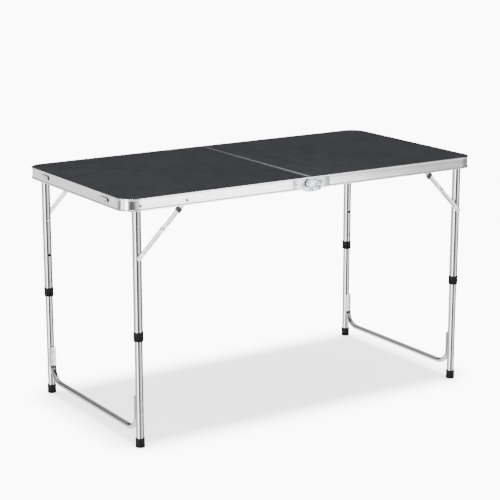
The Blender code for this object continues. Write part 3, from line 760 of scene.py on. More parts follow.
def flat_web(side_x, side_y, sizes, wall_y, low_z):
    """The stretch of the lower bead that is pressed flat behind the hinge's web."""
    xs = sorted((-side_x * 0.001, side_x * 0.032))
    ys = sorted((side_y * (wall_y + 0.00015), side_y * (wall_y + sizes.bead + 0.001)))
    return block((xs[0], ys[0], low_z - 0.001), (xs[1], ys[1], low_z + 0.0062), 0.0004)


def bend_seam(side_x, side_y, sizes, walls, heights):
    """The fine upright line where the bent corner starts."""
    x = side_x * (walls[0] - sizes.bend)
    outside = walls[1] + sizes.bead + 0.001
    ys = sorted((side_y * (walls[1] - 0.0005), side_y * outside))
    low = (x - 0.00035, ys[0], heights[0] - 0.001)
    high = (x + 0.00035, ys[1], heights[1] - 0.0006)
    return block(low, high, 0.0001)


class PICNIC_OT_rails(bpy.types.Operator):
    """Build the four side rails with their bent corners"""

    bl_idname = "picnic.rails"
    bl_label = "Side rails"

    def execute(self, context):
        sizes = context.scene.picnic_sizes
        wall_x, wall_y, low_z, high_z = rail_place()
        section = rail_section(sizes, high_z - low_z)
        for corner, side_x, side_y in CORNERS:
            stations = [
                (side_x * x, side_y * y, side_x * out_x, side_y * out_y)
                for x, y, out_x, out_y in bend_stations(sizes, wall_x, wall_y)
            ]
            mesh = rail_mesh(section, stations, high_z)
            cutters = [
                flat_web(side_x, side_y, sizes, wall_y, low_z),
                bend_seam(side_x, side_y, sizes, (wall_x, wall_y), (low_z, high_z)),
            ]
            if side_x < 0:
                cutters.append(hook_window(wall_y, side_y))
            add_skin(f"side_rail_{corner}", [drilled(mesh, cutters)], "frame_aluminium")
        return {"FINISHED"}


class PICNIC_OT_ends(bpy.types.Operator):
    """Build the end rails, the joiners behind their seams and the handle's eyes"""

    bl_idname = "picnic.ends"
    bl_label = "End rails"

    def execute(self, context):
        sizes = context.scene.picnic_sizes
        wall_x, _, low_z, high_z = rail_place()
        section = rail_section(sizes, high_z - low_z)
        for side, side_x in SIDES:
            node = f"end_rail_{side}"
            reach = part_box(node)[1][1] - 0.0003
            count = 12
            stations = [
                (side_x * wall_x, reach - 2 * reach * step / count, side_x, 0.0)
                for step in range(count + 1)
            ]
            meshes = [rail_mesh(section, stations, high_z)]
            if side_x < 0:
                windows = [self.window(name, wall_x, 0.004) for name, _ in FACES]
                meshes = [drilled(meshes[0], windows)]
                # Dark discs of painted shade just behind the case hooks' windows
                behind = wall_x - 0.0009
                floors = [self.window(name, behind, 0.0005) for name, _ in FACES]
                add_painted_shade("case_window_shade_discs", floors, "left_top")
            else:
                meshes += [self.eye(sizes, side_y) for _, side_y in FACES]
            add_skin(node, meshes, "frame_aluminium")
            for face, side_y in FACES:
                self.joiner(side, side_x, face, side_y, reach, wall_x, low_z, high_z)
        return {"FINISHED"}

    def window(self, face, wall_x, reach):
        """The round window behind a case hook's free end, or the dark plate of painted shade
        that closes it.
        """
        low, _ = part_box(f"case_hook_{face}")
        at = (0, low[1] + 0.0046, middle(f"case_hook_{face}").z)
        at_wall = (wall_x - reach, wall_x + reach)
        return rod(CASE_WINDOW_RADIUS, at, (-1, 0, 0), *at_wall, 40)

    def eye(self, sizes, side_y):
        """A lug on the right end rail that holds one end of the handle's pin."""
        place = joint_place("carry_handle_swing")
        low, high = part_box("end_rail_right")
        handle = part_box("carry_handle")[1][1] - 0.0070
        start = side_y * (handle + 0.0003)
        ends = sorted((start, start + side_y * 0.008))
        outline = rectangle(
            (high[0] - 0.0074, place.z - 0.0065), (high[0], place.z + 0.0065)
        )
        loops = [softened(outline, 0.0022), circle((place.x, place.z), 0.0017, 20)]
        return plate(loops, ends[0], ends[1], "XZ", 0.0004)

    def joiner(self, side, side_x, face, side_y, reach, wall_x, low_z, high_z):
        """The strip inside the frame that bridges an end rail and a corner."""
        xs = sorted((side_x * (wall_x - 0.0031), side_x * (wall_x - 0.0018)))
        ys = sorted((side_y * (reach - 0.020), side_y * (reach + 0.004)))
        low = (xs[0], ys[0], low_z + 0.005)
        high = (xs[1], ys[1], high_z - 0.0095)
        add_piece(
            f"corner_joiner_{face}_{side}", [block(low, high, 0.0003)],
            "frame_aluminium", body=f"{side}_top",
        )


class PICNIC_OT_boards(bpy.types.Operator):
    """Build the two halves of the top and the strips along their seam"""

    bl_idname = "picnic.boards"
    bl_label = "Boards and seam strips"

    def execute(self, context):
        sizes = context.scene.picnic_sizes
        for side, side_x in SIDES:
            node = f"top_board_{side}"
            low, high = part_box(node)
            inner = min(abs(low[0]), abs(high[0]))
            reach_x = max(abs(low[0]), abs(high[0]))
            reach_y = high[1]
            radius = sizes.bend - (rail_place()[0] - reach_x)
            centre = (reach_x - radius, reach_y - radius)
            outline = [(inner, -reach_y)]
            outline += arc((centre[0], -centre[1]), radius, -90, 0, 24)
            outline += arc(centre, radius, 0, 90, 24)
            outline += [(inner, reach_y)]
            loops = [mirrored(outline, side_x)]
            mesh = plate(loops, low[2], high[2], "XY", 0.0003)
            add_skin(node, [mesh], "board_laminate")
            node = f"seam_trim_{side}"
            low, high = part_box(node)
            add_skin(node, [block(low, high, 0.0007)], "frame_aluminium")
        return {"FINISHED"}


# ---------------------------------------------------------------- hinges and hooks


def left_leaf_outline(low, high, hinge_z, window, lobe):
    """A hinge leaf and its web in one outline, with the round notch."""
    web = (0.0240, hinge_z + 0.0033)
    slope = math.degrees(math.atan2(web[1] - hinge_z, web[0]))
    centre, radius = window
    meet = math.degrees(math.asin((low + 0.0020 - centre[1]) / radius))
    outline = list(arc((0.0, hinge_z), lobe, 90 + slope, 270 + slope, 18))
    outline += arc(web, lobe, -90 + slope, 28, 12)
    outline += [(0.0620, low), (0.0620, high), (centre[0] + 0.0006, high)]
    outline += arc(centre, radius, 86, meet, 28)
    return outline


class PICNIC_OT_hinges(bpy.types.Operator):
    """Build the four hinge leaves with their rivets and pins"""

    bl_idname = "picnic.hinges"
    bl_label = "Hinge leaves"

    def execute(self, context):
        sizes = context.scene.picnic_sizes
        wall_y = rail_place()[1]
        layer = wall_y + GAP
        top = layer + sizes.plate
        outer = top + GAP
        hinge_z = joint_place("table_fold").z
        hook = joint_place("centre_hook_front_turn")
        low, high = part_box("hinge_leaf_back_right")
        leaf_low, leaf_high = high[2] - 0.0246, high[2]
        for face, side_y in FACES:
            out = (0, side_y, 0)
            rivet = (0.054, 0, hook.z)
            window = ((0.013, hook.z), WINDOW_RADIUS)
            outline = left_leaf_outline(leaf_low, leaf_high, hinge_z, window, 0.0070)
            heads = [
                (0.0036, top, 0.0011, (-rivet[0], 0, rivet[2]), out),
                (0.0042, outer + sizes.plate + GAP, 0.0012, (0, 0, hinge_z), out),
            ]
            left_body = softened(mirrored(outline, -1), 0.0004, 1)
            left = [
                self.layer(left_body, side_y, layer, top, sizes),
                rod(0.0024, (0, 0, hinge_z), out, layer, outer + sizes.plate, 24),
                *(punched_head(*head) for head in heads),
            ]
            node = f"hinge_leaf_{face}_left"
            add_skin(node, left, "zinc_steel")
            add_bores(node, heads)
            self.window_shade_disc(face, side_y, window, wall_y)
            body = softened(rectangle((0.012, leaf_low), (0.062, leaf_high)), 0.0030)
            web = stadium((0.0240, hinge_z + 0.0033), (0.0, hinge_z), 0.0070)
            web_loops = [web, circle((0.0, hinge_z), 0.0027)]
            ys = sorted((side_y * (layer + GAP), side_y * (outer + 0.0012)))
            right = [
                self.layer(body, side_y, layer, top, sizes),
                plate(
                    web_loops, side_y * outer, side_y * (outer + sizes.plate), "XZ",
                    sizes.edge,
                ),
                block(
                    (0.0145, ys[0], leaf_low - 0.0022),
                    (0.028, ys[1], leaf_low + 0.0024), 0.0004,
                ),
                punched_head(0.0036, top, 0.0011, rivet, out),
            ]
            node = f"hinge_leaf_{face}_right"
            add_skin(node, right, "zinc_steel")
            add_bores(node, [(0.0036, top, 0.0011, rivet, out)])
        return {"FINISHED"}

    def window_shade_disc(self, face, side_y, window, wall_y):
        """A dark plate of painted shade that closes the rail's window behind the lever's
        free end.
        """
        (x, z), radius = window
        levels = (wall_y - 0.0013, wall_y - 0.0004)
        floor = rod(radius - 0.0001, (-x, 0, z), (0, side_y, 0), *levels)
        add_painted_shade(f"window_shade_disc_{face}", [floor], "left_top")

    def layer(self, outline, side_y, low, high, sizes):
        return plate([outline], side_y * low, side_y * high, "XZ", sizes.edge)


class PICNIC_OT_centre_hooks(bpy.types.Operator):
    """Build the two levers that bridge the seam"""

    bl_idname = "picnic.centre_hooks"
    bl_label = "Centre hooks"

    def execute(self, context):
        sizes = context.scene.picnic_sizes
        for face, side_y in FACES:
            node = f"centre_hook_{face}"
            pivot = joint_place(f"{node}_turn")
            low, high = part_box(node)
            radius = (high[2] - low[2]) / 2
            layer = abs(pivot.y) + 0.0001
            top = layer + sizes.plate
            end = (low[0] + radius, pivot.z)
            out = (0, side_y, 0)
            outline = self.outline(end, (pivot.x, pivot.z), radius)
            heads = [
                (0.0041, top, 0.0012, (pivot.x, 0, pivot.z), out),
                (0.0030, top, 0.0009, (end[0], 0, end[1]), out),
            ]
            meshes = [
                plate([outline], side_y * layer, side_y * top, "XZ", sizes.edge),
                *(punched_head(*head) for head in heads), self.rim(end, side_y, top),
            ]
            add_skin(node, meshes, "zinc_steel")
            add_bores(node, heads)
        return {"FINISHED"}

    def outline(self, end, pivot, radius):
        """A lever that narrows a little between its round ends."""
        waist = radius * 0.86
        third = (pivot[0] - end[0]) / 3
        near, far = pivot[0] - third, end[0] + third
        outline = list(arc(pivot, radius, -90, 90, 18))
        outline += [(near, pivot[1] + waist), (far, end[1] + waist)]
        outline += arc(end, radius, 90, 270, 18)
        outline += [(far, end[1] - waist), (near, pivot[1] - waist)]
        return outline

    def rim(self, end, side_y, top):
        """The pressed ring round the boss."""
        profile = [
            (0.0062, top - 0.0002), (0.0060, top + 0.0003), (0.0054, top + 0.0004),
            (0.0050, top + 0.0002), (0.0049, top - 0.0002),
        ]
        return lathe(profile, (end[0], 0, end[1]), (0, side_y, 0), 40, closed=True)


class PICNIC_OT_case_fittings(bpy.types.Operator):
    """Build the case hooks, their keepers and the carry handle"""

    bl_idname = "picnic.case_fittings"
    bl_label = "Case hooks, keepers and handle"

    def execute(self, context):
        sizes = context.scene.picnic_sizes
        wall_x = rail_place()[0]
        for face, _ in FACES:
            self.hook(face, sizes, wall_x)
            self.keeper(face, wall_x)
        self.handle()
        return {"FINISHED"}

    def hook(self, face, sizes, wall_x):
        node = f"case_hook_{face}"
        pivot = joint_place(f"{node}_turn")
        low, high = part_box(node)
        layer = abs(pivot.x)
        top = layer + sizes.plate
        reach = 0.038
        tip = (pivot.y - reach, pivot.z)
        radius = (high[2] - low[2]) / 2
        bite = 0.0031
        outline = list(arc((pivot.y, pivot.z), radius, -90, 90, 16))
        outline += arc(tip, radius, 90, 248, 18)
        outline += [(tip[0] - bite, tip[1] - radius * 0.93), (tip[0] - bite, tip[1])]
        outline += arc(tip, bite, 180, 0, 10)
        outline += [(tip[0] + bite, tip[1] - radius)]
        out = (-1, 0, 0)
        grip = (0, pivot.y - reach * 0.62, pivot.z)
        outreach = -low[0]
        head = (0.0042, top, 0.0016, (0, pivot.y, pivot.z), out)
        inside = (0.0018 - wall_x, pivot.y, pivot.z)
        meshes = [
            plate([softened(outline, 0.0005, 2)], -layer, -top, "YZ", sizes.edge),
            punched_head(*head),
            rod(0.0024, (0, pivot.y, pivot.z), out, wall_x - 0.002, top, 20),
            punched_head(0.0042, 0, 0.001, inside, (1, 0, 0)),
            domed_head(0.0030, top, outreach - top, grip, out),
        ]
        add_skin(node, meshes, "zinc_steel")
        add_bores(node, [head])

    def keeper(self, face, wall_x):
        node = f"case_keeper_{face}"
        low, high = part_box(node)
        centre = middle(node)
        neck, head, flange = 0.0024, 0.0045, 0.0055
        profile = [
            (0.0, low[0]), (0.0042, low[0]), (0.0042, low[0] + 0.0010),
            (neck, low[0] + 0.0010), (neck, wall_x + 0.0003), (flange, wall_x + 0.0003),
            (flange, wall_x + 0.0011), (flange * 0.93, wall_x + 0.0014),
            (neck + 0.0004, wall_x + 0.0015), (neck, wall_x + 0.0019),
            (neck, high[0] - 0.0024), (head * 0.90, high[0] - 0.0022),
            (head, high[0] - 0.0018), (head, high[0] - 0.0008),
            (head * 0.86, high[0] - 0.0002), (head * 0.5, high[0]), (0.0, high[0]),
        ]
        mesh = lathe(profile, (0, centre.y, centre.z), (1, 0, 0), 36)
        add_skin(node, [mesh], "zinc_steel")

    def handle(self):
        """A flat bail with soft edges and shallow finger ribs."""
        node = "carry_handle"
        place = joint_place("carry_handle_swing")
        low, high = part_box(node)
        half = high[1] - 0.0070
        depth = (high[0] - low[0]) / 2
        arm, bar = 0.0100, 0.0085
        points = [
            (-half, high[2]), (-half, low[2]), (half, low[2]), (half, high[2]),
            (half - arm, high[2]), (half - arm, low[2] + bar),
            (arm - half, low[2] + bar), (arm - half, high[2]),
        ]
        outline = softened(points, 0.0042, 6)
        meshes = [plate([outline], place.x - depth, place.x + depth, "YZ", 0.0012)]
        for step in range(-5, 6):
            y = step * 0.0066
            meshes.append(
                block(
                    (low[0] + 0.0001, y - 0.0009, low[2] + 0.0014),
                    (high[0], y + 0.0009, low[2] + bar - 0.0014), 0.0004,
                )
            )
        for _, side_y in FACES:
            meshes.append(
                rod(0.0014, place, (0, side_y, 0), half - 0.004, half + 0.007, 16)
            )
        add_skin(node, meshes, "black_plastic")


# ---------------------------------------------------------------- legs


def tube_profile(outer, inner, low, high, edge=0.0003):
    """A tube's section with its cut ends broken."""
    return [
        (outer - edge, high), (outer, high - edge), (outer, low + edge),
        (outer - edge, low), (inner + edge, low), (inner, low + edge),
        (inner, high - edge), (inner + edge, high),
    ]


def grip_band(outer, low, high):
    """The stretch of a collar or foot that its flutes cut."""
    levels = [high + 0.0002, high - 0.0003, (low + high) / 2]
    levels += [low + 0.0003, low - 0.0002]
    return [(outer - 0.0002, level) for level in levels]


class PICNIC_OT_legs(bpy.types.Operator):
    """Build the telescoping tubes, collars, feet, buttons and pivot rivets"""

    bl_idname = "picnic.legs"
    bl_label = "Legs"

    def execute(self, context):
        sizes = context.scene.picnic_sizes
        for corner, _, side_y in CORNERS:
            at = middle(f"foot_{corner}")
            at = Vector((at.x, at.y, 0.0))
            self.upper(corner, at, side_y, sizes)
            self.lower(corner, at, side_y, sizes)
            self.collar(corner, at, sizes)
            self.foot(corner, at, sizes)
            self.button(corner, at, side_y)
            self.rivet(corner, at, side_y)
        return {"FINISHED"}

    def upper(self, corner, at, side_y, sizes):
        node = f"upper_tube_{corner}"
        low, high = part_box(node)
        outer = (high[0] - low[0]) / 2
        inner = outer - sizes.tube_wall
        mesh = lathe(
            tube_profile(outer, inner, low[2], high[2]), at, (0, 0, 1), sizes.facets,
            closed=True,
        )
        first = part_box(f"snap_button_{corner}")[1][2] - BUTTON_DROP
        inwards = (0, -side_y, 0)
        levels = (first, first + sizes.hole_pitch)
        places = [at + Vector((0, 0, level)) for level in levels]
        holes = [rod(0.0042, place, inwards, 0.004, 0.020) for place in places]
        add_skin(node, [drilled(mesh, holes)], "tube_aluminium")
        plug = [
            (0.0, high[2] - 0.006), (inner - 0.0002, high[2] - 0.006),
            (inner - 0.0002, high[2] + 0.0001), (outer - 0.0004, high[2] + 0.0002),
            (outer - 0.0010, high[2] + 0.0009), (0.0, high[2] + 0.0011),
        ]
        add_piece(
            f"tube_plug_{corner}", [lathe(plug, at, (0, 0, 1), 40)], "black_plastic",
            body=PIECE_BODY[node],
        )

    def lower(self, corner, at, side_y, sizes):
        node = f"lower_tube_{corner}"
        low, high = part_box(node)
        outer = (high[0] - low[0]) / 2
        mesh = lathe(
            tube_profile(outer, outer - 0.0010, low[2], high[2]), at, (0, 0, 1),
            sizes.facets, closed=True,
        )
        button_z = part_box(f"snap_button_{corner}")[1][2] - BUTTON_DROP
        hole = rod(0.0039, at + Vector((0, 0, button_z)), (0, -side_y, 0), 0.004, 0.020)
        add_skin(node, [drilled(mesh, [hole])], "tube_aluminium")

    def collar(self, corner, at, sizes):
        node = f"collar_{corner}"
        low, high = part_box(node)
        outer = (high[0] - low[0]) / 2
        bore, sleeve = COLLAR_BORE, UPPER_TUBE_RADIUS + GAP
        band_low, band_high = low[2] + 0.0036, high[2] - 0.0036
        profile = [
            (outer - 0.0006, high[2]), (outer - 0.0001, high[2] - 0.0005),
            (outer, high[2] - 0.0012), (outer, high[2] - 0.0030),
            *grip_band(outer, band_low, band_high), (outer, low[2] + 0.0030),
            (outer, low[2] + 0.0012), (outer - 0.0001, low[2] + 0.0005),
            (outer - 0.0008, low[2]), (bore + 0.0003, low[2]), (bore, low[2] + 0.0004),
            (bore, low[2] + 0.0047), (sleeve, low[2] + 0.0047),
            (sleeve, high[2] - 0.0004), (sleeve + 0.0003, high[2]),
        ]
        flutes = (30, sizes.flute, band_low, band_high, outer - 0.0004)
        mesh = lathe(profile, at, (0, 0, 1), 180, closed=True, flutes=flutes)
        add_skin(node, [mesh], "black_plastic")

    def foot(self, corner, at, sizes):
        node = f"foot_{corner}"
        low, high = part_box(node)
        outer = (high[0] - low[0]) / 2
        bore, floor = COLLAR_BORE, 0.003
        band_low, band_high = 0.0050, high[2] - 0.0034
        profile = [
            (0.0, floor), (bore, floor), (bore, high[2] - 0.0004),
            (bore + 0.0003, high[2]), (outer - 0.0006, high[2]),
            (outer - 0.0001, high[2] - 0.0005), (outer, high[2] - 0.0012),
            (outer, high[2] - 0.0028), *grip_band(outer, band_low, band_high),
            (outer, 0.0042), (outer, 0.0020), (outer - 0.0003, 0.0009),
            (outer - 0.0010, 0.0002), (outer - 0.0018, 0.0), (0.0, 0.0),
        ]
        flutes = (30, sizes.flute, band_low, band_high, outer - 0.0004)
        mesh = lathe(profile, at, (0, 0, 1), 180, flutes=flutes)
        add_skin(node, [mesh], "black_plastic")

    def button(self, corner, at, side_y):
        """The domed button behind the tube's hole, and its leaf spring."""
        node = f"snap_button_{corner}"
        low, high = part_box(node)
        z = high[2] - BUTTON_DROP
        place = at + Vector((0, 0, z))
        inwards = Vector((0, -side_y, 0))
        radius = 0.0036
        rim, tip = 0.0098, 0.0113
        profile = [(0.0, 0.0046), (radius, 0.0046), (radius, rim)]
        for step in range(1, 8):
            angle = math.pi / 2 * step / 7
            profile.append(
                (radius * math.cos(angle), rim + (tip - rim) * math.sin(angle))
            )
        profile[-1] = (0.0, tip)
        back = place + inwards * 0.0044
        front = place + inwards * 0.0050
        spring_low = (low[0], min(back.y, front.y), low[2])
        spring_high = (high[0], max(back.y, front.y), high[2])
        meshes = [
            lathe(profile, place, inwards, 32), block(spring_low, spring_high, 0.0002),
        ]
        add_skin(node, meshes, "zinc_steel")

    def rivet(self, corner, at, side_y):
        """The leg's pivot: a punched head outside, a spacer, a shank and a domed head."""
        node = f"leg_pivot_rivet_{corner}"
        low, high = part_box(node)
        wall_y = rail_place()[1]
        z = middle(node).z
        inner_head = min(abs(low[1]), abs(high[1]))
        place = (at.x, 0, z)
        out = (0, side_y, 0)
        tube_side = abs(at.y) + UPPER_TUBE_RADIUS + GAP
        head = (0.0050, wall_y + GAP, 0.0016, place, out)
        meshes = [
            punched_head(*head),
            rod(0.0030, place, out, inner_head + 0.0006, wall_y + 0.0004, 28),
            lathe(
                tube_profile(0.0046, 0.0031, tube_side, wall_y - 0.0021), place, out,
                32, closed=True,
            ),
            domed_head(
                0.0050, -(inner_head + 0.0014), 0.0014, place, (0, -side_y, 0), 36,
            ),
        ]
        add_skin(node, meshes, "zinc_steel")
        add_bores(node, [head])


# ---------------------------------------------------------------- crossbars


class PICNIC_OT_crossbars(bpy.types.Operator):
    """Build the two bent crossbars with their flattened, riveted ends"""

    bl_idname = "picnic.crossbars"
    bl_label = "Crossbars"

    def execute(self, context):
        for side, _ in SIDES:
            node = f"crossbar_{side}"
            low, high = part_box(node)
            x = (low[0] + high[0]) / 2
            leg = middle(f"foot_back_{side}").y
            stations = self.stations(high[0] - x, low[2], high[2], leg)
            rings = [self.ring(x, station, -1) for station in stations]
            rings += [self.ring(x, station, 1) for station in reversed(stations)]
            meshes = [skin(rings)]
            for _, side_y in FACES:
                for z in CROSSBAR_RIVETS:
                    meshes += self.rivet((x, 0, z), side_y, leg)
            add_skin(node, meshes, "bar_aluminium")
        return {"FINISHED"}

    def stations(self, half_width, bottom, top, leg):
        """Half of the bar, arm first.

        A station is (y, z, half width, half thickness, squareness, lean).
        """
        tube, plate_half, bend = 0.0080, 0.0018, 0.050
        plate_y = leg - LOWER_TUBE_RADIUS - GAP - plate_half
        bend_z = bottom + tube + bend
        corner = 0.0045
        made = []
        for step in range(7):
            angle = math.pi / 2 * step / 6
            width = half_width - corner * (1 - math.sin(angle))
            z = top - corner * (1 - math.cos(angle))
            made.append((plate_y, z, width, plate_half, 1.0, 0.0))
        for step in range(1, 9):
            z = top - corner + (bend_z + 0.004 - top + corner) * step / 8
            made.append((plate_y, z, half_width, plate_half, 1.0, 0.0))
        for step in range(25):
            lean = math.pi / 2 * step / 24
            share = min(lean / math.radians(45), 1.0)
            share = share * share * (3 - 2 * share)
            made.append(
                (
                    plate_y - bend * (1 - math.cos(lean)),
                    bend_z - bend * math.sin(lean),
                    half_width + (tube - half_width) * share,
                    plate_half + (tube - plate_half) * share, 1.0 - share, lean,
                )
            )
        for step in range(1, 10):
            made.append(
                (
                    (plate_y - bend) * (1 - step / 10), bend_z - bend, tube, tube, 0.0,
                    math.pi / 2,
                )
            )
        return made

    def ring(self, x, station, side_y, count=40):
        """One section: round on the bar, a flat oval with full corners on the arms."""
        y, z, width, thickness, square, lean = station
        power = 1.0 - 0.55 * square
        across = Vector((0, side_y * math.cos(lean), -math.sin(lean)))
        centre = Vector((x, side_y * y, z))
        ring = []
        for step in range(count):
            angle = 2 * math.pi * step / count
            wide = math.copysign(abs(math.cos(angle)) ** power, math.cos(angle))
            deep = math.copysign(abs(math.sin(angle)) ** power, math.sin(angle))
            ring.append(
                centre + Vector((width * wide, 0, 0)) + across * thickness * deep
            )
        return ring

    def rivet(self, at, side_y, leg):
        outer = leg + LOWER_TUBE_RADIUS + GAP
        inner = leg - LOWER_TUBE_RADIUS - GAP - 0.0036
        return [
            domed_head(0.0036, outer, 0.0012, at, (0, side_y, 0), 28),
            rod(0.0020, at, (0, side_y, 0), inner, outer + 0.0003, 20),
            domed_head(0.0034, -inner, 0.0010, at, (0, -side_y, 0), 28),
        ]


# ---------------------------------------------------------------- braces


class PICNIC_OT_braces(bpy.types.Operator):
    """Build the two-strap braces and their sliding clips"""

    bl_idname = "picnic.braces"
    bl_label = "Braces"

    def execute(self, context):
        sizes = context.scene.picnic_sizes
        wall_y = rail_place()[1]
        for side, _ in SIDES:
            rail_end = joint_place(f"{side}_brace_rail_pivot")
            leg_end = joint_place(f"{side}_brace_leg_pivot")
            centre = (rail_end + leg_end) / 2
            for face, side_y in FACES:
                corner = f"{face}_{side}"
                self.upper(corner, rail_end, centre, side_y, wall_y, sizes)
                self.lower(corner, leg_end, centre, side_y, sizes)
                self.clip(corner, rail_end, centre, side_y)
        return {"FINISHED"}

    def layer(self, node, side_y, offset, sizes):
        """A strap's near and far faces, as distances from the table's middle."""
        low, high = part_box(node)
        near = min(abs(low[1]), abs(high[1])) + offset
        return near, near + sizes.plate

    def strap(self, start, end, near, far, side_y, sizes):
        """A strap with a pressed groove along its middle, between its two ends."""
        half = 0.0075
        way = (end - start).normalized()
        length = (end - start).length
        across = Vector((-way.z, 0, way.x))
        edge = sizes.edge
        count_long, count_wide = 56, 20

        def surface_point(u, v, sunk):
            """u runs from end to end, v across; sunk is the groove's depth."""
            along = -half + (length + 2 * half) * u
            past = max(-along, along - length, 0.0)
            wide = math.sqrt(max(half * half - past * past, 0.0)) * v
            level = far - sunk * groove(along, wide, length)
            return start + way * along + across * wide, level

        def groove(along, wide, length):
            start = smooth((along - 0.012) / 0.006)
            ends = min(start, smooth((length - 0.012 - along) / 0.006))
            return ends * (1.0 - smooth((abs(wide) - 0.0022) / 0.0014))

        rings = []
        for step in range(count_long + 1):
            u = 0.5 - 0.5 * math.cos(math.pi * step / count_long)
            u = min(max(u, 0.0004), 0.9996)
            ring = []
            for k in range(count_wide + 1):
                v = -1.0 + 2.0 * k / count_wide
                point, level = surface_point(u, v * 0.985, 0.0005)
                drop = edge if k in (0, count_wide) else 0.0
                ring.append((point, level - drop))
            for k in range(count_wide, -1, -1):
                v = -1.0 + 2.0 * k / count_wide
                point, _ = surface_point(u, v * 0.985, 0.0)
                lift = edge if k in (0, count_wide) else 0.0
                ring.append((point, near + lift))
            rings.append(
                [Vector((point.x, side_y * level, point.z)) for point, level in ring]
            )
        return skin(rings)

    def upper(self, corner, start, end, side_y, wall_y, sizes):
        node = f"brace_upper_{corner}"
        near, far = self.layer(node, side_y, 0.0, sizes)
        out = (0, side_y, 0)
        heads = [
            (0.0046, wall_y + GAP, 0.0016, (start.x, 0, start.z), out),
            (0.0042, far, 0.0013, (end.x, 0, end.z), out),
        ]
        meshes = [
            self.strap(start, end, near, far, side_y, sizes),
            rod(0.0025, (start.x, 0, start.z), out, far - 0.0004, wall_y + 0.0006, 24),
            *(punched_head(*head) for head in heads),
        ]
        add_skin(node, meshes, "zinc_steel")
        add_bores(node, heads)

    def lower(self, corner, start, end, side_y, sizes):
        node = f"brace_lower_{corner}"
        low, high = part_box(node)
        far_head = max(abs(low[1]), abs(high[1]))
        far = far_head - 0.0009
        near = far - sizes.plate
        inner = min(abs(low[1]), abs(high[1])) + 0.0012
        out = (0, side_y, 0)
        back = (0, -side_y, 0)
        meshes = [
            self.strap(start, end, near, far, side_y, sizes),
            domed_head(0.0042, far, 0.0009, (start.x, 0, start.z), out, 36),
            rod(0.0025, (start.x, 0, start.z), out, inner, far - 0.0003, 24),
            domed_head(0.0044, -inner, 0.0012, (start.x, 0, start.z), back, 36),
            domed_head(0.0042, -near, 0.0009, (end.x, 0, end.z), back, 36),
        ]
        add_skin(node, meshes, "zinc_steel")

    def clip(self, corner, start, end, side_y):
        """The plastic clip round the upper strap, with two grip ridges."""
        node = f"brace_slider_{corner}"
        low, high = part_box(node)
        near = min(abs(low[1]), abs(high[1]))
        far = max(abs(low[1]), abs(high[1]))
        way = (end - start).normalized()
        across = Vector((-way.z, 0, way.x))
        centre = middle(node)
        half, slot, lip = 0.0098, 0.0078, 0.0054
        right = [(half, far), (half, near), (lip, near), (lip, near + 0.0005)]
        right += [(slot, near + 0.0005), (slot, far - 0.0016)]
        outline = softened(right + [(-x, y) for x, y in reversed(right)], 0.0006, 3)
        rings = []
        for along, inset in self.clip_steps():
            ring = []
            for wide, level in outline:
                outside = level > far - 0.0002 or abs(wide) > half - 0.0004
                shrink = inset if outside else 0.0
                wide -= math.copysign(shrink, wide)
                level -= shrink
                point = centre + way * along + across * wide
                ring.append(Vector((point.x, side_y * level, point.z)))
            rings.append(ring)
        add_skin(node, [skin(rings)], "clip_plastic")

    def clip_steps(self):
        """(place along the strap, how far the outside is drawn in) down the clip."""
        length, soft, ridge = 0.0130, 0.0004, 0.0003
        steps = [(-0.5, soft), (-0.46, 0.0), (-0.30, 0.0), (-0.27, ridge)]
        steps += [(-0.17, ridge), (-0.14, 0.0), (-0.05, 0.0), (-0.02, ridge)]
        steps += [(-place, inset) for place, inset in reversed(steps)]
        return [(place * length, inset) for place, inset in steps]


def smooth(share):
    """A smooth step from 0 to 1."""
    share = min(max(share, 0.0), 1.0)
    return share * share * (3 - 2 * share)


# ---------------------------------------------------------------- stage


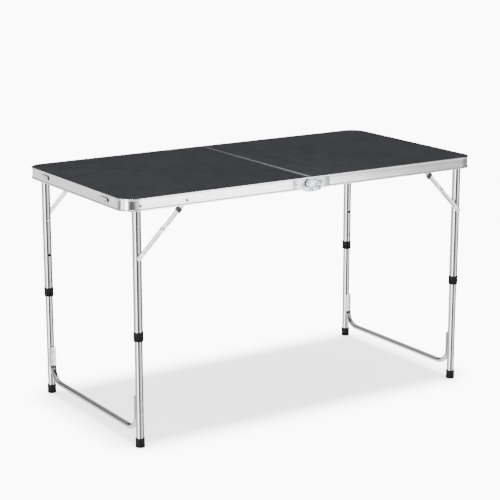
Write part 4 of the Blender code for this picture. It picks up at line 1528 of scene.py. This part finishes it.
class PICNIC_OT_stage(bpy.types.Operator):
    """Set up the pale floor, the soft light and the camera"""

    bl_idname = "picnic.stage"
    bl_label = "Studio"

    def execute(self, context):
        self.floor(context)
        self.surround(context)
        self.lights(context)
        self.camera(context)
        return {"FINISHED"}

    def floor(self, context):
        """A large pale sheet that takes soft shadows and that the metal doesn't mirror."""
        work = bmesh.new()
        bmesh.ops.create_grid(work, x_segments=1, y_segments=1, size=30.0)
        floor = bpy.data.objects.new("floor", finished(work, "floor"))
        floor.location.z = -0.0004
        floor.visible_glossy = False
        context.scene.collection.objects.link(floor)
        finish = Finish("floor")
        white = {"Color": (*3 * (FLOOR_WHITE,), 1.0)}
        grey = {"Color": (0.8, 0.8, 0.8, 1.0)}
        pale = finish.node("ShaderNodeBsdfDiffuse", None, grey)
        lit = finish.node("ShaderNodeBsdfDiffuse", None, white)
        glow = finish.node("ShaderNodeEmission", None, {"Strength": BACKDROP_WHITE})
        length = finish.node(
            "ShaderNodeVectorMath", {"operation": "LENGTH"}, {0: finish.place}, "Value"
        )
        away = finish.ramp(length, *FLOOR_FADE)
        seen = finish.node("ShaderNodeLightPath", output="Is Camera Ray")
        sheet = finish.node("ShaderNodeMixShader", None, {0: away, 1: lit, 2: glow})
        mixed = finish.node("ShaderNodeMixShader", None, {0: seen, 1: pale, 2: sheet})
        finish.feed(finish.tree.nodes["Material Output"].inputs["Surface"], mixed)
        floor.data.materials.append(finish.material)
        floor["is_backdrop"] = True

    def surround(self, context):
        """White behind the table; the metal mirrors a ring of light and dark instead."""
        world = bpy.data.worlds.new("studio")
        world.use_nodes = True
        context.scene.world = world
        room = Nodes(world.node_tree)
        way = room.node("ShaderNodeTexCoord", output="Generated")
        split = room.tree.nodes.new("ShaderNodeSeparateXYZ")
        room.feed(split.inputs[0], way)
        east, north, up = (Value(room, output) for output in split.outputs)
        turn = room.maths("ARCTAN2", north, east) / (2 * math.pi) + 0.5
        ring = room.brightness(turn, RING_STOPS)
        sky = room.brightness((up + 1.0) * 0.5, SKY_STOPS)
        level = room.node(
            "ShaderNodeMapRange", {"interpolation_type": "SMOOTHSTEP"},
            {"Value": up, "From Min": -0.05, "From Max": 0.12},
        )
        seen = room.node("ShaderNodeLightPath", output="Is Camera Ray")
        down = room.node(
            "ShaderNodeMapRange", {"interpolation_type": "SMOOTHSTEP"},
            {"Value": up, "From Min": -0.34, "From Max": -0.60},
        )
        matt = room.node("ShaderNodeLightPath", output="Is Diffuse Ray")
        light = ring * (1.0 - level) + sky * level
        light = light * (1.0 - down) + down * GROUND_LIGHT
        light = light * (1.0 - matt) + matt * MATT_LIGHT
        light = light * (1.0 - seen) + seen * BACKDROP_WHITE
        background = world.node_tree.nodes["Background"]
        background.inputs["Color"].default_value = (1.0, 1.0, 1.0, 1.0)
        room.feed(background.inputs["Strength"], light)

    def lights(self, context):
        """One broad soft light straight overhead."""
        data = bpy.data.lights.new("overhead", "SUN")
        data.energy = OVERHEAD_POWER
        data.angle = math.radians(OVERHEAD_ANGLE)
        light = bpy.data.objects.new("overhead", data)
        light.location = (0.0, 0.0, 3.0)
        context.scene.collection.objects.link(light)

    def camera(self, context):
        data = bpy.data.cameras.new("camera")
        data.lens = CAMERA_LENS
        data.sensor_width = 36.0
        camera = bpy.data.objects.new("camera", data)
        camera.location = CAMERA_PLACE
        camera.rotation_euler = (
            math.radians(90.0 - CAMERA_PITCH), 0.0, math.radians(-CAMERA_YAW),
        )
        context.scene.collection.objects.link(camera)
        context.scene.camera = camera


CAMERA_PLACE = (-2.5096, -3.8513, 1.5519)
CAMERA_YAW = 32.947
CAMERA_PITCH = 13.759
CAMERA_LENS = 113.12
# How bright the lit floor prints, and the distances over which it turns to backdrop
FLOOR_WHITE = 4.9
FLOOR_FADE = (0.9, 2.4)
MATT_LIGHT = 0.85
BACKDROP_WHITE = 10.5
# (turn round the table from -X through -Y, 0 to 1; brightness near the horizon)
RING_STOPS = (
    (0.000, 2.4), (0.030, 3.6), (0.060, 5.5), (0.068, 12.0), (0.092, 12.0),
    (0.102, 1.4), (0.128, 0.5), (0.148, 0.16), (0.205, 0.24), (0.235, 0.45),
    (0.262, 1.3), (0.290, 1.3), (0.315, 2.0), (0.332, 5.5), (0.345, 7.0), (0.353, 0.9),
    (0.380, 0.7), (0.410, 0.5), (0.514, 0.35), (0.600, 0.4), (0.720, 0.5), (0.800, 1.5),
    (0.845, 2.0), (0.880, 0.9), (0.919, 0.35), (0.955, 0.8), (0.980, 5.0), (0.990, 5.0),
    (1.000, 2.4),
)
# (direction, 0 straight down to 1 straight up; brightness above the horizon)
SKY_STOPS = ((0.50, 0.05), (0.68, 0.07), (0.80, 0.9), (1.00, 1.1))
GROUND_LIGHT = 2.8
OVERHEAD_POWER = 4.5
OVERHEAD_ANGLE = 12.0


# ---------------------------------------------------------------- add-on


class PICNIC_PT_panel(bpy.types.Panel):
    """Lists the table's pieces and their sizes and colours"""

    bl_idname = "PICNIC_PT_panel"
    bl_label = "Picnic Table"
    bl_space_type = "VIEW_3D"
    bl_region_type = "UI"
    bl_category = "Picnic Table"

    def draw(self, context):
        for group in (context.scene.picnic_sizes, context.scene.picnic_colours):
            column = self.layout.column(align=True)
            for name in group.__annotations__:
                column.prop(group, name)
        for operator in OPERATORS:
            self.layout.operator(operator.bl_idname)


OPERATORS = (
    PICNIC_OT_boards, PICNIC_OT_rails, PICNIC_OT_ends, PICNIC_OT_hinges,
    PICNIC_OT_centre_hooks, PICNIC_OT_case_fittings, PICNIC_OT_legs,
    PICNIC_OT_crossbars, PICNIC_OT_braces, PICNIC_OT_stage,
)
CLASSES = (PicnicSizes, PicnicColours, *OPERATORS, PICNIC_PT_panel)


def register():
    for cls in CLASSES:
        bpy.utils.register_class(cls)
    bpy.types.Scene.picnic_sizes = PointerProperty(type=PicnicSizes)
    bpy.types.Scene.picnic_colours = PointerProperty(type=PicnicColours)


def unregister():
    del bpy.types.Scene.picnic_colours
    del bpy.types.Scene.picnic_sizes
    for cls in reversed(CLASSES):
        bpy.utils.unregister_class(cls)


def main():
    cad_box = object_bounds()
    register()
    FINISHES.update(make_finishes(bpy.context.scene.picnic_colours))
    for operator in OPERATORS:
        group, name = operator.bl_idname.split(".")
        getattr(getattr(bpy.ops, group), name)()
    boxes = {"cad": cad_box, "visual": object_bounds()}
    boxes = {name: [list(corner) for corner in box] for name, box in boxes.items()}


if __name__ == "__main__":
    main()
